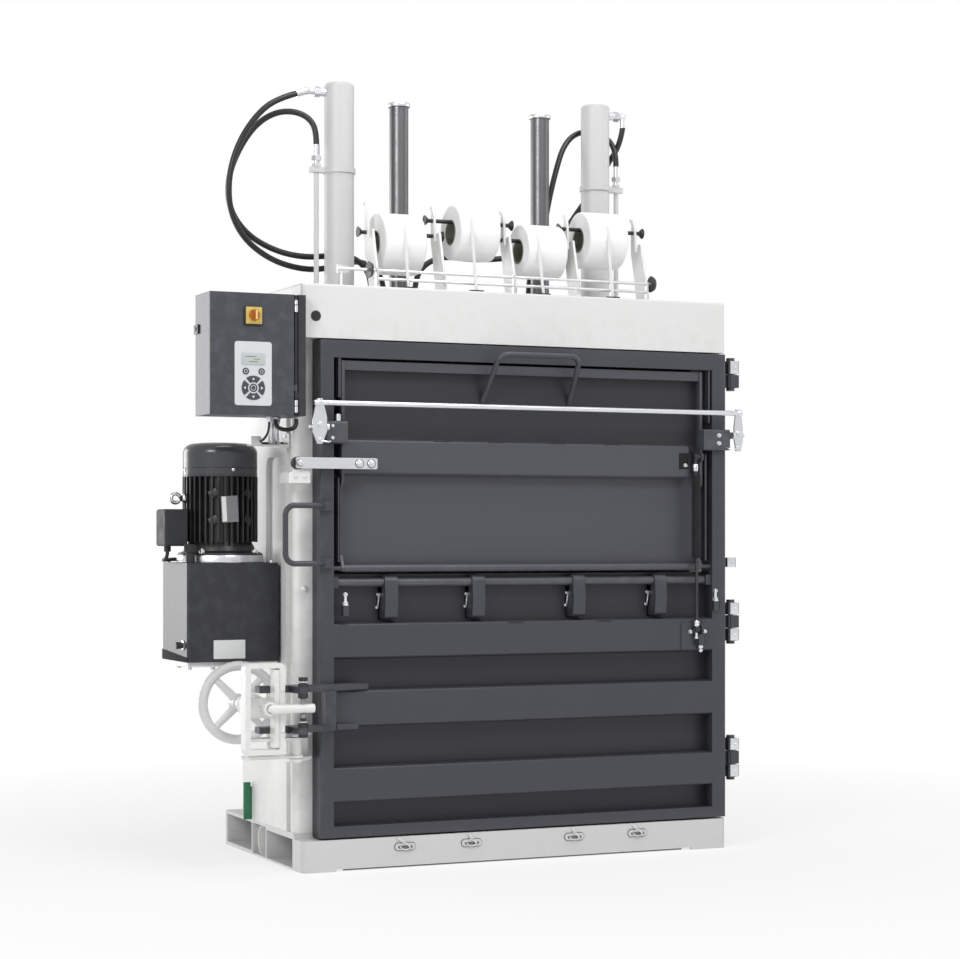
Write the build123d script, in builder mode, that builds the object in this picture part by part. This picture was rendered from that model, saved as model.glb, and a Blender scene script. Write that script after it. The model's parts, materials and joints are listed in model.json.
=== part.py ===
from build123d import *
from math import cos, radians, sin, tan
import os

# Vertical baling press with two cylinders, a side-hinged door and a tipping loading flap.
# Millimetres, +X to the right, +Y to the back, +Z up, origin under the middle of the base.

# Body
HALF_W = 688
FRONT_Y = -350
REAR_Y = 350
HEAD_BOTTOM = 1516
HEAD_TOP = 1670
FLOOR_Z = 106
SILL_Z = 90
COLUMN_FRONT = -282
CHAMBER_HALF_W = 600
CHAMBER_REAR = 318
STRAP_X = (-376, -167, 167, 379)

# Cylinders, guide rods and platen
ROD_Y = 30
CYLINDER_X = 433
GUIDE_X = 238.5
PLATEN_BOTTOM = 1462
PLATEN_TOP = 1570

# Door and loading flap
DOOR_LEFT = -632.5
DOOR_RIGHT = 689.5
DOOR_BACK = -284
DOOR_BOTTOM = 95
DOOR_TOP = 1512
POST_LEFT = -591.5
POST_RIGHT = 641.5
PANEL_FRONT = -300
OPENING_BOTTOM = 845
OPENING_TOP = 1462
HINGE_X = 725
HINGE_Y = -316
FLAP_Y = -335
FLAP_Z = 862

GAS_X = 577.5
GAS_Y = -366
GAS_LOW_Z = 671
GAS_HIGH_Z = 1195

# Lock
LOCK_X = -815
LOCK_Z = 475
LOCK_PIN_X = -722
LOCK_PIN_Y = -385
WHEEL_Y = -165
WHEEL_R = 118

# Power unit and control box
MOTOR_X = -825.5
MOTOR_Y = -25
TANK_TOP = 877
TANK_BOTTOM = 592
BOX_LEFT = -968
BOX_FRONT = -376

BASE = (Align.CENTER, Align.CENTER, Align.MIN)


def front_plane(y):
    """Sketch plane facing the front, with X to the right and Z up."""
    return Plane(origin=(0, y, 0), x_dir=(1, 0, 0), z_dir=(0, -1, 0))


def side_plane(x):
    """Sketch plane facing +X, with Y to the right and Z up."""
    return Plane(origin=(x, 0, 0), x_dir=(0, 1, 0), z_dir=(1, 0, 0))


def block(x0, x1, y0, y1, z0, z1, mode=Mode.ADD):
    """A plate or bar given by its limits."""
    with Locations(((x0 + x1) / 2, (y0 + y1) / 2, (z0 + z1) / 2)):
        Box(x1 - x0, y1 - y0, z1 - z0, mode=mode)


def rod(start, direction, radius, length, mode=Mode.ADD):
    """A round bar from its start point."""
    with Locations(Plane(origin=start, z_dir=direction)):
        Cylinder(radius, length, align=BASE, mode=mode)


def hexagon(start, direction, flats, length):
    """A nut or bolt head, sized across its flats."""
    with BuildSketch(Plane(origin=start, z_dir=direction)) as outline:
        RegularPolygon(flats / 2, 6, major_radius=False)
    extrude(outline.sketch, amount=length)


def tube(points, bend, radius, start_direction):
    """A bent bar along straight runs joined by arcs."""
    with BuildLine() as route:
        FilletPolyline(*points, radius=bend)
    with BuildSketch(Plane(origin=points[0], z_dir=start_direction)) as section:
        Circle(radius)
    sweep(section.sketch, path=route.wires()[0])


def save(part, name):
    """Label the finished piece and write its file."""
    part.label = name
    export_step(part, f"parts/{name}.step")


os.makedirs("parts", exist_ok=True)

# Base with fork pockets, foot pads and strap channels
POCKETS = ((-270, -40, 6, 88), (98, 334, 11, 96))
PAD_INNER_LEFT = -587
PAD_INNER_RIGHT = 565
CHANNEL_W = 30

with BuildPart() as base_frame:
    with BuildSketch(Plane.XY) as base_outline:
        with Locations((0, (FRONT_Y - 5 + REAR_Y) / 2)):
            Rectangle(2 * HALF_W, REAR_Y - FRONT_Y + 5)
        fillet(base_outline.vertices().group_by(Axis.Y)[0], radius=18)
    extrude(amount=FLOOR_Z)
    block(-700, 700, FRONT_Y - 10, COLUMN_FRONT, SILL_Z, FLOOR_Z + 5, Mode.SUBTRACT)
    for y0, y1, z0, z1 in POCKETS:
        block(-700, 700, y0, y1, z0, z1, Mode.SUBTRACT)
    block(-700, 700, -32, 90, 6, 96, Mode.SUBTRACT)
    block(-640, 640, FRONT_Y + 5, -278, -1, 82, Mode.SUBTRACT)
    block(PAD_INNER_LEFT, PAD_INNER_RIGHT, FRONT_Y - 10, FRONT_Y + 10, -1, 8, Mode.SUBTRACT)
    for x in STRAP_X:
        block(x - CHANNEL_W / 2, x + CHANNEL_W / 2, FRONT_Y, REAR_Y + 1, FLOOR_Z - 5, FLOOR_Z + 1,
              Mode.SUBTRACT)
    for x in STRAP_X:
        with BuildSketch(front_plane(FRONT_Y - 5)) as cleat:
            with Locations((x, 61)):
                SlotOverall(62, 20)
        extrude(cleat.sketch, amount=4)
save(base_frame.part, "base_frame")

# Ejector strap bowed between the middle struts, seen through the gap on the left side
with BuildPart() as ejector_strap:
    with BuildSketch(side_plane(-684)) as bow:
        with BuildLine():
            outer = ThreePointArc((12, 6), (52, 50), (20, 96))
            inner = ThreePointArc((16, 96), (47, 50), (8, 6))
            Line(outer @ 1, inner @ 0)
            Line(inner @ 1, outer @ 0)
        make_face()
    extrude(amount=30)
save(ejector_strap.part, "ejector_strap")


# Side walls: rounded front column, groove, outer panel and the set-back rear stretch
PANEL_Y0 = -218
PANEL_Y1 = 95
PANEL_TOP = 1300
LEVER_Y = 114
LEVER_Z = 194


def side_wall_profile(sign):
    """Plan outline of one side wall, for the left (-1) or right (+1) side."""
    outline = [
        (sign * HALF_W, COLUMN_FRONT),
        (sign * HALF_W, -255),
        (sign * 666, -255),
        (sign * 666, PANEL_Y0),
        (sign * HALF_W, PANEL_Y0),
        (sign * HALF_W, PANEL_Y1),
        (sign * 632.5, PANEL_Y1),
        (sign * 632.5, REAR_Y),
        (sign * CHAMBER_HALF_W, REAR_Y),
        (sign * CHAMBER_HALF_W, COLUMN_FRONT),
    ]
    return outline


with BuildPart() as left_side_wall:
    with BuildSketch(Plane.XY.offset(FLOOR_Z)) as plan:
        with BuildLine():
            Polyline(*side_wall_profile(-1), close=True)
        make_face()
        fillet(plan.vertices().filter_by_position(Axis.X, -689, -687).group_by(Axis.Y)[0], radius=20)
    extrude(amount=HEAD_BOTTOM - FLOOR_Z)
    block(-690, -668, PANEL_Y0, PANEL_Y1 + 1, PANEL_TOP, HEAD_BOTTOM + 1, Mode.SUBTRACT)
    with BuildSketch(side_plane(-HALF_W)) as recess:
        with Locations((-120, (330 + 1185) / 2)):
            RectangleRounded(160, 1185 - 330, 26)
    extrude(amount=10, mode=Mode.SUBTRACT)
    with BuildSketch(side_plane(-666)) as slot:
        with Locations((-236, 175)):
            RectangleRounded(32, 132, 8)
    extrude(amount=26, mode=Mode.SUBTRACT)
    rod((-632.5, LEVER_Y, LEVER_Z), (-1, 0, 0), 6, 20)
    rod((-632.5, LEVER_Y, LEVER_Z), (-1, 0, 0), 12, 4)
    hexagon((-651, LEVER_Y, LEVER_Z), (-1, 0, 0), 19, 9)
save(left_side_wall.part, "left_side_wall")

with BuildPart() as right_side_wall:
    with BuildSketch(Plane.XY.offset(FLOOR_Z)) as plan:
        with BuildLine():
            Polyline(*side_wall_profile(1), close=True)
        make_face()
        fillet(plan.vertices().filter_by_position(Axis.X, 687, 689).group_by(Axis.Y)[0], radius=20)
    extrude(amount=HEAD_BOTTOM - FLOOR_Z)
    block(668, 690, PANEL_Y0, PANEL_Y1 + 1, PANEL_TOP, HEAD_BOTTOM + 1, Mode.SUBTRACT)
save(right_side_wall.part, "right_side_wall")

# Rear wall with folded stiffening ribs
RIB_COUNT = 5
with BuildPart() as rear_wall:
    block(-CHAMBER_HALF_W, CHAMBER_HALF_W, CHAMBER_REAR, 324, FLOOR_Z, HEAD_BOTTOM)
    rib_pitch = (HEAD_BOTTOM - FLOOR_Z) / RIB_COUNT
    for number in range(RIB_COUNT):
        z = FLOOR_Z + rib_pitch * (number + 0.5)
        with BuildSketch(side_plane(-CHAMBER_HALF_W)) as rib:
            with BuildLine():
                Polyline((324, z - 55), (REAR_Y, z - 40), (REAR_Y, z + 40), (324, z + 55), close=True)
            make_face()
        extrude(amount=2 * CHAMBER_HALF_W)
save(rear_wall.part, "rear_wall")

# Press head: rounded beam, open below so that the platen parks inside it
with BuildPart() as press_head:
    with BuildSketch(Plane.XY.offset(HEAD_BOTTOM)) as head_outline:
        Rectangle(2 * HALF_W, REAR_Y - FRONT_Y)
        fillet(head_outline.vertices(), radius=12)
    extrude(amount=HEAD_TOP - HEAD_BOTTOM)
    fillet(press_head.edges().group_by(Axis.Z)[-1].group_by(Axis.Y)[0], radius=6)
    block(-640, 640, -275, 325, HEAD_BOTTOM - 1, HEAD_TOP - 22, Mode.SUBTRACT)
    for side in (-1, 1):
        rod((side * GUIDE_X, ROD_Y, HEAD_TOP), (0, 0, 1), 42, 16)
        rod((side * GUIDE_X, ROD_Y, HEAD_TOP - 30), (0, 0, 1), 29.6, 60, Mode.SUBTRACT)
        rod((side * CYLINDER_X, ROD_Y, HEAD_TOP - 30), (0, 0, 1), 26, 40, Mode.SUBTRACT)
save(press_head.part, "press_head")

# Hydraulic cylinders with foot flange, domed cap and blind bore
CYLINDER_TOP = 2320
for side, name in ((-1, "left_cylinder"), (1, "right_cylinder")):
    with BuildPart() as cylinder:
        with BuildSketch(Plane.XZ.offset(-ROD_Y)) as half:
            with BuildLine():
                Polyline((26, HEAD_TOP), (58, HEAD_TOP), (58, HEAD_TOP + 16), (45, HEAD_TOP + 16),
                         (45, CYLINDER_TOP - 6), (39, CYLINDER_TOP), (0, CYLINDER_TOP),
                         (0, CYLINDER_TOP - 40), (26, CYLINDER_TOP - 40), close=True)
            make_face()
        revolve(axis=Axis((0, ROD_Y, 0), (0, 0, 1)))
    save(cylinder.part.moved(Location((side * CYLINDER_X, 0, 0))), name)

# Strap rack plates: leaning foot, blunt lower arm and thin curved hook
RACK_X = (-432.5, -221.5, 5.5, 217.5, 449.5)
RACK_T = 7
REEL_Y = -200
LOW_AXLE_Z = 1844
HIGH_AXLE_Z = 1889
AXLE_R = 6
AXLES = ((0, 1, LOW_AXLE_Z), (1, 2, HIGH_AXLE_Z), (2, 3, LOW_AXLE_Z), (3, 4, HIGH_AXLE_Z))

with BuildPart() as reel_rack:
    for number, x in enumerate(RACK_X):
        with BuildSketch(side_plane(x - RACK_T / 2)) as plate:
            with BuildLine():
                Polyline((-226, HEAD_TOP), (-296, HEAD_TOP), (-288, 1712), (-252, 1838))
                ThreePointArc((-252, 1838), (-243, 1850), (-232, 1844))
                Polyline((-232, 1844), (-226, 1822), (-214, 1830), (-211, 1890))
                Spline((-211, 1890), (-205, 1916), (-184, 1934), tangents=((0, 1), (1, 0.2)))
                ThreePointArc((-184, 1934), (-178, 1929), (-184, 1924))
                Spline((-184, 1924), (-191, 1912), (-188, 1890), tangents=((-1, -0.4), (0, -1)))
                Polyline((-188, 1890), (-188, 1826), (-204, 1770), (-226, HEAD_TOP))
            make_face()
        extrude(amount=RACK_T)
        for left, right, z in AXLES:
            if number in (left, right):
                rod((x - 20, REEL_Y, z), (1, 0, 0), AXLE_R, 40, Mode.SUBTRACT)
        block(x + RACK_T / 2, x + RACK_T / 2 + 24, -290, -232, HEAD_TOP, HEAD_TOP + 6)
save(reel_rack.part, "reel_rack")

# Reel axles: slim rods with a flared knob at each end
with BuildPart() as reel_axles:
    for left, right, z in AXLES:
        start = RACK_X[left] - 20
        length = RACK_X[right] + 20 - start
        rod((start, REEL_Y, z), (1, 0, 0), AXLE_R, length)
        for knob_x, direction in ((start, -1), (start + length, 1)):
            with Locations(Plane(origin=(knob_x, REEL_Y, z), z_dir=(direction, 0, 0))):
                Cone(9, 16, 9, align=BASE)
save(reel_axles.part, "reel_axles")

# Tape reels: wound rolls with rounded shoulders, hanging on the axles by their cores
REELS = ((-342, LOW_AXLE_Z, 90, "tape_reel_1"), (-101.5, HIGH_AXLE_Z, 82, "tape_reel_2"),
         (120.5, LOW_AXLE_Z, 82, "tape_reel_3"), (323.5, HIGH_AXLE_Z, 86, "tape_reel_4"))
REEL_W = 131
CORE_R = 38
REEL_DROP = CORE_R - AXLE_R - 0.5

for x, axle_z, radius, name in REELS:
    with BuildPart() as reel:
        with BuildSketch(Plane.XZ) as half:
            with BuildLine():
                Polyline((CORE_R, -REEL_W / 2), (CORE_R + 4, -REEL_W / 2), (CORE_R + 4, -REEL_W / 2 + 3),
                         (radius - 22, -REEL_W / 2 + 1))
                ThreePointArc((radius - 22, -REEL_W / 2 + 1), (radius - 5, -REEL_W / 2 + 8),
                              (radius, -REEL_W / 2 + 22))
                Line((radius, -REEL_W / 2 + 22), (radius, REEL_W / 2 - 22))
                ThreePointArc((radius, REEL_W / 2 - 22), (radius - 5, REEL_W / 2 - 8),
                              (radius - 22, REEL_W / 2 - 1))
                Polyline((radius - 22, REEL_W / 2 - 1), (CORE_R + 4, REEL_W / 2 - 3),
                         (CORE_R + 4, REEL_W / 2), (CORE_R, REEL_W / 2), (CORE_R, -REEL_W / 2))
            make_face()
        revolve(axis=Axis.Z)
    save(reel.part.moved(Location((x, REEL_Y, axle_z - REEL_DROP), (0, 90, 0))), name)

# Tape guide rods in front of the rack, with their standing eyes and left-end lever
TAPE_X = (-347.5, -132.5, 85.5, 317.5)
UPPER_ROD_Y = -299
UPPER_ROD_Z = 1722
LOWER_ROD_Y = -303
LOWER_ROD_Z = 1697
TAPE_ROD_R = 4.5

with BuildPart() as tape_rods:
    rod((-562, UPPER_ROD_Y, UPPER_ROD_Z), (1, 0, 0), TAPE_ROD_R, 1018)
    rod((-446, LOWER_ROD_Y, LOWER_ROD_Z), (1, 0, 0), TAPE_ROD_R, 886)
    with BuildSketch(front_plane(UPPER_ROD_Y - 2)) as lever:
        with BuildLine():
            Polyline((-562, 1708), (-546, 1706), (-524, 1714), (-524, 1728), (-562, 1734), close=True)
        make_face()
    extrude(lever.sketch, amount=-5)
    rod((-548, UPPER_ROD_Y, HEAD_TOP), (0, 0, 1), 4, 42)
    for x in (-442, -6, 440):
        block(x - 3, x + 3, LOWER_ROD_Y - 6, LOWER_ROD_Y + 8, HEAD_TOP, UPPER_ROD_Z + 6)
save(tape_rods.part, "tape_rods")

# Black end discs on the upper rod and the tape inlets on the head
with BuildPart() as tape_guides:
    for x in (-466, 456):
        with Locations(Plane(origin=(x, UPPER_ROD_Y, UPPER_ROD_Z), z_dir=(1, 0, 0))):
            Cone(25, 20, 9, align=BASE)
        rod((x - 12, UPPER_ROD_Y, UPPER_ROD_Z), (1, 0, 0), TAPE_ROD_R, 30, Mode.SUBTRACT)
    for x in TAPE_X:
        with BuildSketch(Plane.XY.offset(HEAD_TOP)) as inlet:
            with Locations((x, -316)):
                SlotOverall(46, 18)
                SlotOverall(30, 6, mode=Mode.SUBTRACT)
        extrude(inlet.sketch, amount=6)
save(tape_guides.part, "tape_guides")

# Hydraulic pipes beside the cylinders, each held by a clamp
LEFT_PIPE_X = -506.5
RIGHT_PIPE_X = 507.5
FERRULE_Z = 2116
CLAMP_Z = 2056
with BuildPart() as hydraulic_pipes:
    for x, side in ((LEFT_PIPE_X, -1), (RIGHT_PIPE_X, 1)):
        rod((x, ROD_Y, HEAD_TOP), (0, 0, 1), 7.5, FERRULE_Z - 42 - HEAD_TOP)
        inner = side * (CYLINDER_X + 46)
        outer = x + side * 20
        block(min(inner, outer), max(inner, outer), ROD_Y - 11, ROD_Y + 11, CLAMP_Z - 8, CLAMP_Z + 8)
        with BuildSketch(Plane.XY.offset(CLAMP_Z - 8)) as strap:
            with Locations((side * CYLINDER_X, ROD_Y)):
                Circle(49)
                Circle(45.3, mode=Mode.SUBTRACT)
        extrude(strap.sketch, amount=16)
        for nut_z in (CLAMP_Z + 8, HEAD_TOP):
            hexagon((x, ROD_Y, nut_z), (0, 0, 1), 24, 10)
save(hydraulic_pipes.part, "hydraulic_pipes")

# Ports, elbows and ferrules at the hose ends
PORT_Z = 2291
BULKHEAD_Z = 1684
BULKHEADS = ((-292, 124), (-236, 160), (-142, 140), (250, 140))
LEFT_ELBOW_X = -538.5
RIGHT_ELBOW_X = 531
with BuildPart() as hose_fittings:
    for side, elbow_x in ((-1, LEFT_ELBOW_X), (1, RIGHT_ELBOW_X)):
        port_x = side * (CYLINDER_X + 45)
        with Locations(Plane(origin=(port_x, ROD_Y, PORT_Z), z_dir=(side, 0, 0))):
            Cylinder(13, 18, align=BASE)
        hexagon((port_x + side * 18, ROD_Y, PORT_Z), (side, 0, 0), 28, 18)
        reach = abs(elbow_x - port_x) - 36
        rod((port_x + side * 36, ROD_Y, PORT_Z), (side, 0, 0), 9, reach)
        with Locations((elbow_x, ROD_Y, PORT_Z)):
            Sphere(12)
    rod((LEFT_ELBOW_X, ROD_Y, PORT_Z), (-0.95, 0, -0.31), 11, 34)
    rod((RIGHT_ELBOW_X, ROD_Y, PORT_Z), (0, 0, -1), 10, 34)
    for x in (LEFT_PIPE_X, RIGHT_PIPE_X):
        rod((x, ROD_Y, FERRULE_Z - 42), (0, 0, 1), 9.5, 10)
        hexagon((x, ROD_Y, FERRULE_Z - 32), (0, 0, 1), 26, 14)
        rod((x, ROD_Y, FERRULE_Z - 18), (0, 0, 1), 10, 34)
    for x, y in BULKHEADS:
        hexagon((x, y, HEAD_TOP), (0, 0, 1), 30, 8)
        rod((x, y, HEAD_TOP + 8), (0, 0, 1), 10, BULKHEAD_Z - HEAD_TOP - 8)
save(hose_fittings.part, "hose_fittings")

# Hydraulic hoses: straight runs joined by arcs as wide as the runs leave room for
HOSE_R = 9
HOSES = {
    "hose_left_outer": [
        (-571, 30, 2280.4), (-640.2, 30, 2257.8), (-704, 36, 2196), (-752, 44, 2112), (-776, 52, 2016),
        (-768, 62, 1920), (-718, 76, 1840), (-632, 94, 1788), (-538, 120, 1768), (-450, 142, 1770),
        (-374, 156, 1796), (-314, 160, 1806), (-260, 160, 1782), (-236, 160, 1734), (-236, 160, 1684),
    ],
    "hose_left_inner": [
        (-506.5, 30, 2132), (-506.5, 30, 2176), (-528, 38, 2214), (-572, 52, 2232), (-626, 66, 2226),
        (-682, 78, 2188), (-732, 84, 2114), (-766, 88, 2024), (-760, 96, 1934), (-702, 106, 1860),
        (-608, 114, 1816), (-512, 118, 1802), (-430, 122, 1812), (-370, 124, 1818), (-316, 124, 1790),
        (-292, 124, 1740), (-292, 124, 1684),
    ],
    "hose_right": [
        (507.5, 30, 2132), (507.5, 30, 2180), (492, 58, 2228), (448, 90, 2252), (392, 98, 2240),
        (350, 92, 2194), (322, 84, 2120), (296, 80, 2028), (280, 84, 1936), (266, 106, 1850),
        (250, 140, 1776), (250, 140, 1684),
    ],
    "hose_centre": [
        (531, 30, 2257), (531, 30, 2192), (516, 62, 2126), (474, 100, 2068), (424, 120, 2006),
        (374, 122, 1936), (308, 122, 1880), (224, 122, 1846), (130, 122, 1828), (30, 122, 1824),
        (-48, 124, 1830), (-108, 134, 1806), (-142, 140, 1754), (-142, 140, 1684),
    ],
}


def bend_radii(points):
    """The widest arc that each corner's shorter run leaves room for."""
    radii = []
    for before, corner, after in zip(points, points[1:], points[2:]):
        run_in = Vector(*corner) - Vector(*before)
        run_out = Vector(*after) - Vector(*corner)
        half_turn = radians(run_in.get_angle(run_out)) / 2
        radii.append(0.45 * min(run_in.length, run_out.length) / tan(half_turn))
    return radii


for name, points in HOSES.items():
    radii = bend_radii(points)
    with BuildPart() as hose:
        with BuildLine() as route:
            FilletPolyline(*points, radius=radii)
        first_run = Vector(*points[1]) - Vector(*points[0])
        with BuildSketch(Plane(origin=points[0], z_dir=first_run)):
            Circle(HOSE_R)
        sweep(path=route.wires()[0])
    route_length = sum(edge.length for edge in route.edges())
    print(name, "length", round(route_length), "tightest arc", round(min(radii)))
    save(hose.part, name)

# Oil tank with its tray, filler and drain
TANK_FRONT = -150
TANK_REAR = 103
TANK_LEFT = -962.5
with BuildPart() as oil_tank:
    block(TANK_LEFT, -HALF_W, TANK_FRONT, TANK_REAR, TANK_BOTTOM, TANK_TOP - 6)
    fillet(oil_tank.edges().filter_by(Axis.Z).group_by(Axis.X)[0], radius=8)
    with BuildSketch(Plane.XY.offset(TANK_TOP - 6)):
        with Locations(((TANK_LEFT - HALF_W) / 2, (TANK_FRONT + TANK_REAR) / 2)):
            RectangleRounded(-HALF_W - TANK_LEFT, TANK_REAR - TANK_FRONT, 8)
    extrude(amount=6)
save(oil_tank.part, "oil_tank")

with BuildPart() as tank_tray:
    block(-958, -HALF_W, -140, 92, 578, TANK_BOTTOM)
    block(-940, -HALF_W - 6, -126, 78, 577, TANK_BOTTOM - 5, Mode.SUBTRACT)
    with BuildSketch(side_plane(-704)) as gusset:
        with BuildLine():
            Polyline((-126, 587), (78, 587), (78, 560), (-40, 500), (-70, 500), (-126, 560), close=True)
        make_face()
    extrude(gusset.sketch, amount=16)
save(tank_tray.part, "tank_tray")

with BuildPart() as tank_fittings:
    rod((TANK_LEFT, -110, 640), (-1, 0, 0), 9, 14)
    hexagon((TANK_LEFT - 14, -110, 640), (-1, 0, 0), 17, 9)
    rod((-944, -118, TANK_TOP), (0, 0, 1), 12, 30)
    rod((-944, -118, TANK_TOP + 30), (0, 0, 1), 17, 22)
save(tank_fittings.part, "tank_fittings")

# Electric motor standing on the tank
with BuildPart() as motor_bell:
    with BuildSketch(Plane.XZ) as half:
        with BuildLine():
            Polyline((0, TANK_TOP), (125, TANK_TOP), (125, 898), (122, 905), (104, 911))
            Spline((104, 911), (99, 924), (92, 937), tangents=((-0.4, 1), (-0.4, 1)))
            Polyline((92, 937), (0, 937), (0, TANK_TOP))
        make_face()
    revolve(axis=Axis.Z)
save(motor_bell.part.moved(Location((MOTOR_X, MOTOR_Y, 0))), "motor_bell")

FIN_COUNT = 36
FIN_R = 109.5
BARREL_R = 92
with BuildPart() as motor_housing:
    with BuildSketch(Plane.XY.offset(937)):
        Circle(BARREL_R)
        with PolarLocations((BARREL_R + FIN_R) / 2 - 1, FIN_COUNT):
            Rectangle(FIN_R - BARREL_R + 2, 5)
    extrude(amount=190)
    rod((-FIN_R + 2, 0, 1064), (-1, 0, 0), 9, 18)
    with BuildSketch(front_plane(6)) as ring:
        with Locations((-FIN_R - 26, 1064)):
            Circle(17)
            Circle(9, mode=Mode.SUBTRACT)
    extrude(ring.sketch, amount=12)
save(motor_housing.part.moved(Location((MOTOR_X, MOTOR_Y, 0))), "motor_housing")

with BuildPart() as motor_cowl:
    with BuildSketch(Plane.XZ) as half:
        with BuildLine():
            Polyline((0, 1127), (108.5, 1127), (108.5, 1190))
            ThreePointArc((108.5, 1190), (101, 1214), (80, 1224))
            Polyline((80, 1224), (60, 1226), (0, 1226), (0, 1127))
        make_face()
    revolve(axis=Axis.Z)
    with BuildSketch(Plane.XY.offset(1226)):
        for ring in (20, 34, 48):
            with PolarLocations(ring, 12):
                Circle(3)
    extrude(amount=-8, mode=Mode.SUBTRACT)
save(motor_cowl.part.moved(Location((MOTOR_X, MOTOR_Y, 0))), "motor_cowl")

with BuildPart() as terminal_box:
    block(-1005.5, -939, -72, 22, 925, 1032)
    fillet(terminal_box.edges().filter_by(Axis.X), radius=8)
    chamfer(terminal_box.faces().sort_by(Axis.X)[0].edges(), length=4)
    block(-939, -935.2, -52, 2, 945, 1012)
    rod((-985, -25, 925), (0, 0, -1), 10, 16)
save(terminal_box.part, "terminal_box")

# Control box with its hinged door, keypad and main switch
BOX_RIGHT = -HALF_W
BOX_BOTTOM = 1291
BOX_TOP = 1631
BOX_REAR = -246
BOX_DOOR_RIGHT = -722
BOX_HINGE_X = -716
BOX_HINGE_Y = -380
with BuildPart() as control_box:
    block(BOX_LEFT, BOX_RIGHT, BOX_FRONT, BOX_REAR, BOX_BOTTOM, BOX_TOP)
    block(BOX_LEFT + 3, BOX_RIGHT - 30, BOX_FRONT - 1, BOX_REAR - 3, BOX_BOTTOM + 3, BOX_TOP - 3,
          Mode.SUBTRACT)
    block(-709, BOX_RIGHT, BOX_FRONT - 7, BOX_FRONT, BOX_BOTTOM, BOX_TOP)
    block(BOX_LEFT + 40, BOX_RIGHT - 60, -262, -252, BOX_BOTTOM + 40, BOX_TOP - 40)
    block(BOX_LEFT + 40, BOX_RIGHT - 60, -252, -249, BOX_BOTTOM + 40, BOX_TOP - 40)
    for z in (1340, 1582):
        rod((BOX_HINGE_X, BOX_HINGE_Y, z), (0, 0, 1), 2.4, 42)
        rod((BOX_HINGE_X, BOX_HINGE_Y, z), (0, 0, 1), 4, 20)
        block(BOX_HINGE_X, -709, BOX_HINGE_Y - 1.5, BOX_HINGE_Y + 1.5, z, z + 20)
save(control_box.part, "control_box")

with BuildPart() as control_box_door:
    block(BOX_LEFT, BOX_DOOR_RIGHT, BOX_FRONT - 7, BOX_FRONT - 0.5, BOX_BOTTOM, BOX_TOP)
    fillet(control_box_door.edges().filter_by(Axis.Z).group_by(Axis.Y)[0], radius=3)
    for z in (1361, 1603):
        block(BOX_DOOR_RIGHT, BOX_HINGE_X, BOX_HINGE_Y - 1.5, BOX_HINGE_Y + 1.5, z, z + 18)
        rod((BOX_HINGE_X, BOX_HINGE_Y, z), (0, 0, 1), 4, 18)
        rod((BOX_HINGE_X, BOX_HINGE_Y, z - 1), (0, 0, 1), 2.45, 20, Mode.SUBTRACT)
save(control_box_door.part, "control_box_door")

KEYPAD_X = -843.5
KEYPAD_Z = 1406
with BuildPart() as keypad:
    with BuildSketch(front_plane(BOX_FRONT - 7)):
        with Locations((KEYPAD_X, KEYPAD_Z)):
            RectangleRounded(108, 178, 8)
    extrude(amount=2)
    with BuildSketch(front_plane(BOX_FRONT - 9)):
        with Locations((KEYPAD_X, 1446)):
            RectangleRounded(67, 31, 2)
        with Locations((KEYPAD_X, 1366)):
            Circle(25)
        with Locations((-865.5, 1412), (-819.5, 1412)):
            Circle(8)
    extrude(amount=0.8)
save(keypad.part, "keypad")

SWITCH_X = -842.5
SWITCH_Z = 1567.5
with BuildPart() as main_switch_knob:
    rod((SWITCH_X, BOX_FRONT - 7.3, SWITCH_Z), (0, -1, 0), 15, 8)
    with BuildSketch(front_plane(BOX_FRONT - 15.3)):
        with Locations((SWITCH_X, SWITCH_Z)):
            SlotOverall(30, 9, rotation=90)
    extrude(amount=14)
save(main_switch_knob.part, "main_switch_knob")

# Press platen with strap channels in its underside and seats for the rods
with BuildPart() as press_platen:
    block(-585, 585, -270, 308, PLATEN_BOTTOM, PLATEN_TOP - 20)
    chamfer(press_platen.edges().group_by(Axis.Z)[0], length=10)
    for x in STRAP_X:
        block(x - 15, x + 15, -271, 309, PLATEN_BOTTOM - 1, PLATEN_BOTTOM + 14, Mode.SUBTRACT)
    for x in (-CYLINDER_X, -GUIDE_X, GUIDE_X, CYLINDER_X):
        rod((x, ROD_Y, PLATEN_TOP - 20), (0, 0, 1), 48, 20)
    for y in (-150, 210):
        block(-540, 540, y - 12, y + 12, PLATEN_TOP - 20, PLATEN_TOP)
save(press_platen.part, "press_platen")

with BuildPart() as piston_rods:
    for side in (-1, 1):
        rod((side * CYLINDER_X, ROD_Y, PLATEN_TOP), (0, 0, 1), 25, 690)
save(piston_rods.part, "piston_rods")

with BuildPart() as guide_rods:
    for side in (-1, 1):
        rod((side * GUIDE_X, ROD_Y, PLATEN_TOP), (0, 0, 1), 29, 2275 - 12 - PLATEN_TOP)
        rod((side * GUIDE_X, ROD_Y, 2275 - 12), (0, 0, 1), 33, 12)
    fillet(guide_rods.edges().group_by(Axis.Z)[-1], radius=3)
save(guide_rods.part, "guide_rods")

# Door: welded frame with folded ribs, recessed panel and slots for the retaining claws
CLAW_X = (-412.5, -137.5, 190.5, 466.5)
CLAW_W = 40
SHAFT_Y = -325
SHAFT_Z = 821.5
RIBS = ((607, 703), (413, 512), (197, 293))
KNUCKLE_HALF = 15
HINGE_ZONES = ((1412, 1495), (632, 750), (213, 332))
DOOR_KNUCKLES = ((1412, 1452.5), (672, 711), (253, 293))
FRAME_KNUCKLES = ((1454.5, 1495), (713, 750), (632, 670), (295, 332), (213, 251))
PIN_R = 7

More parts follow.
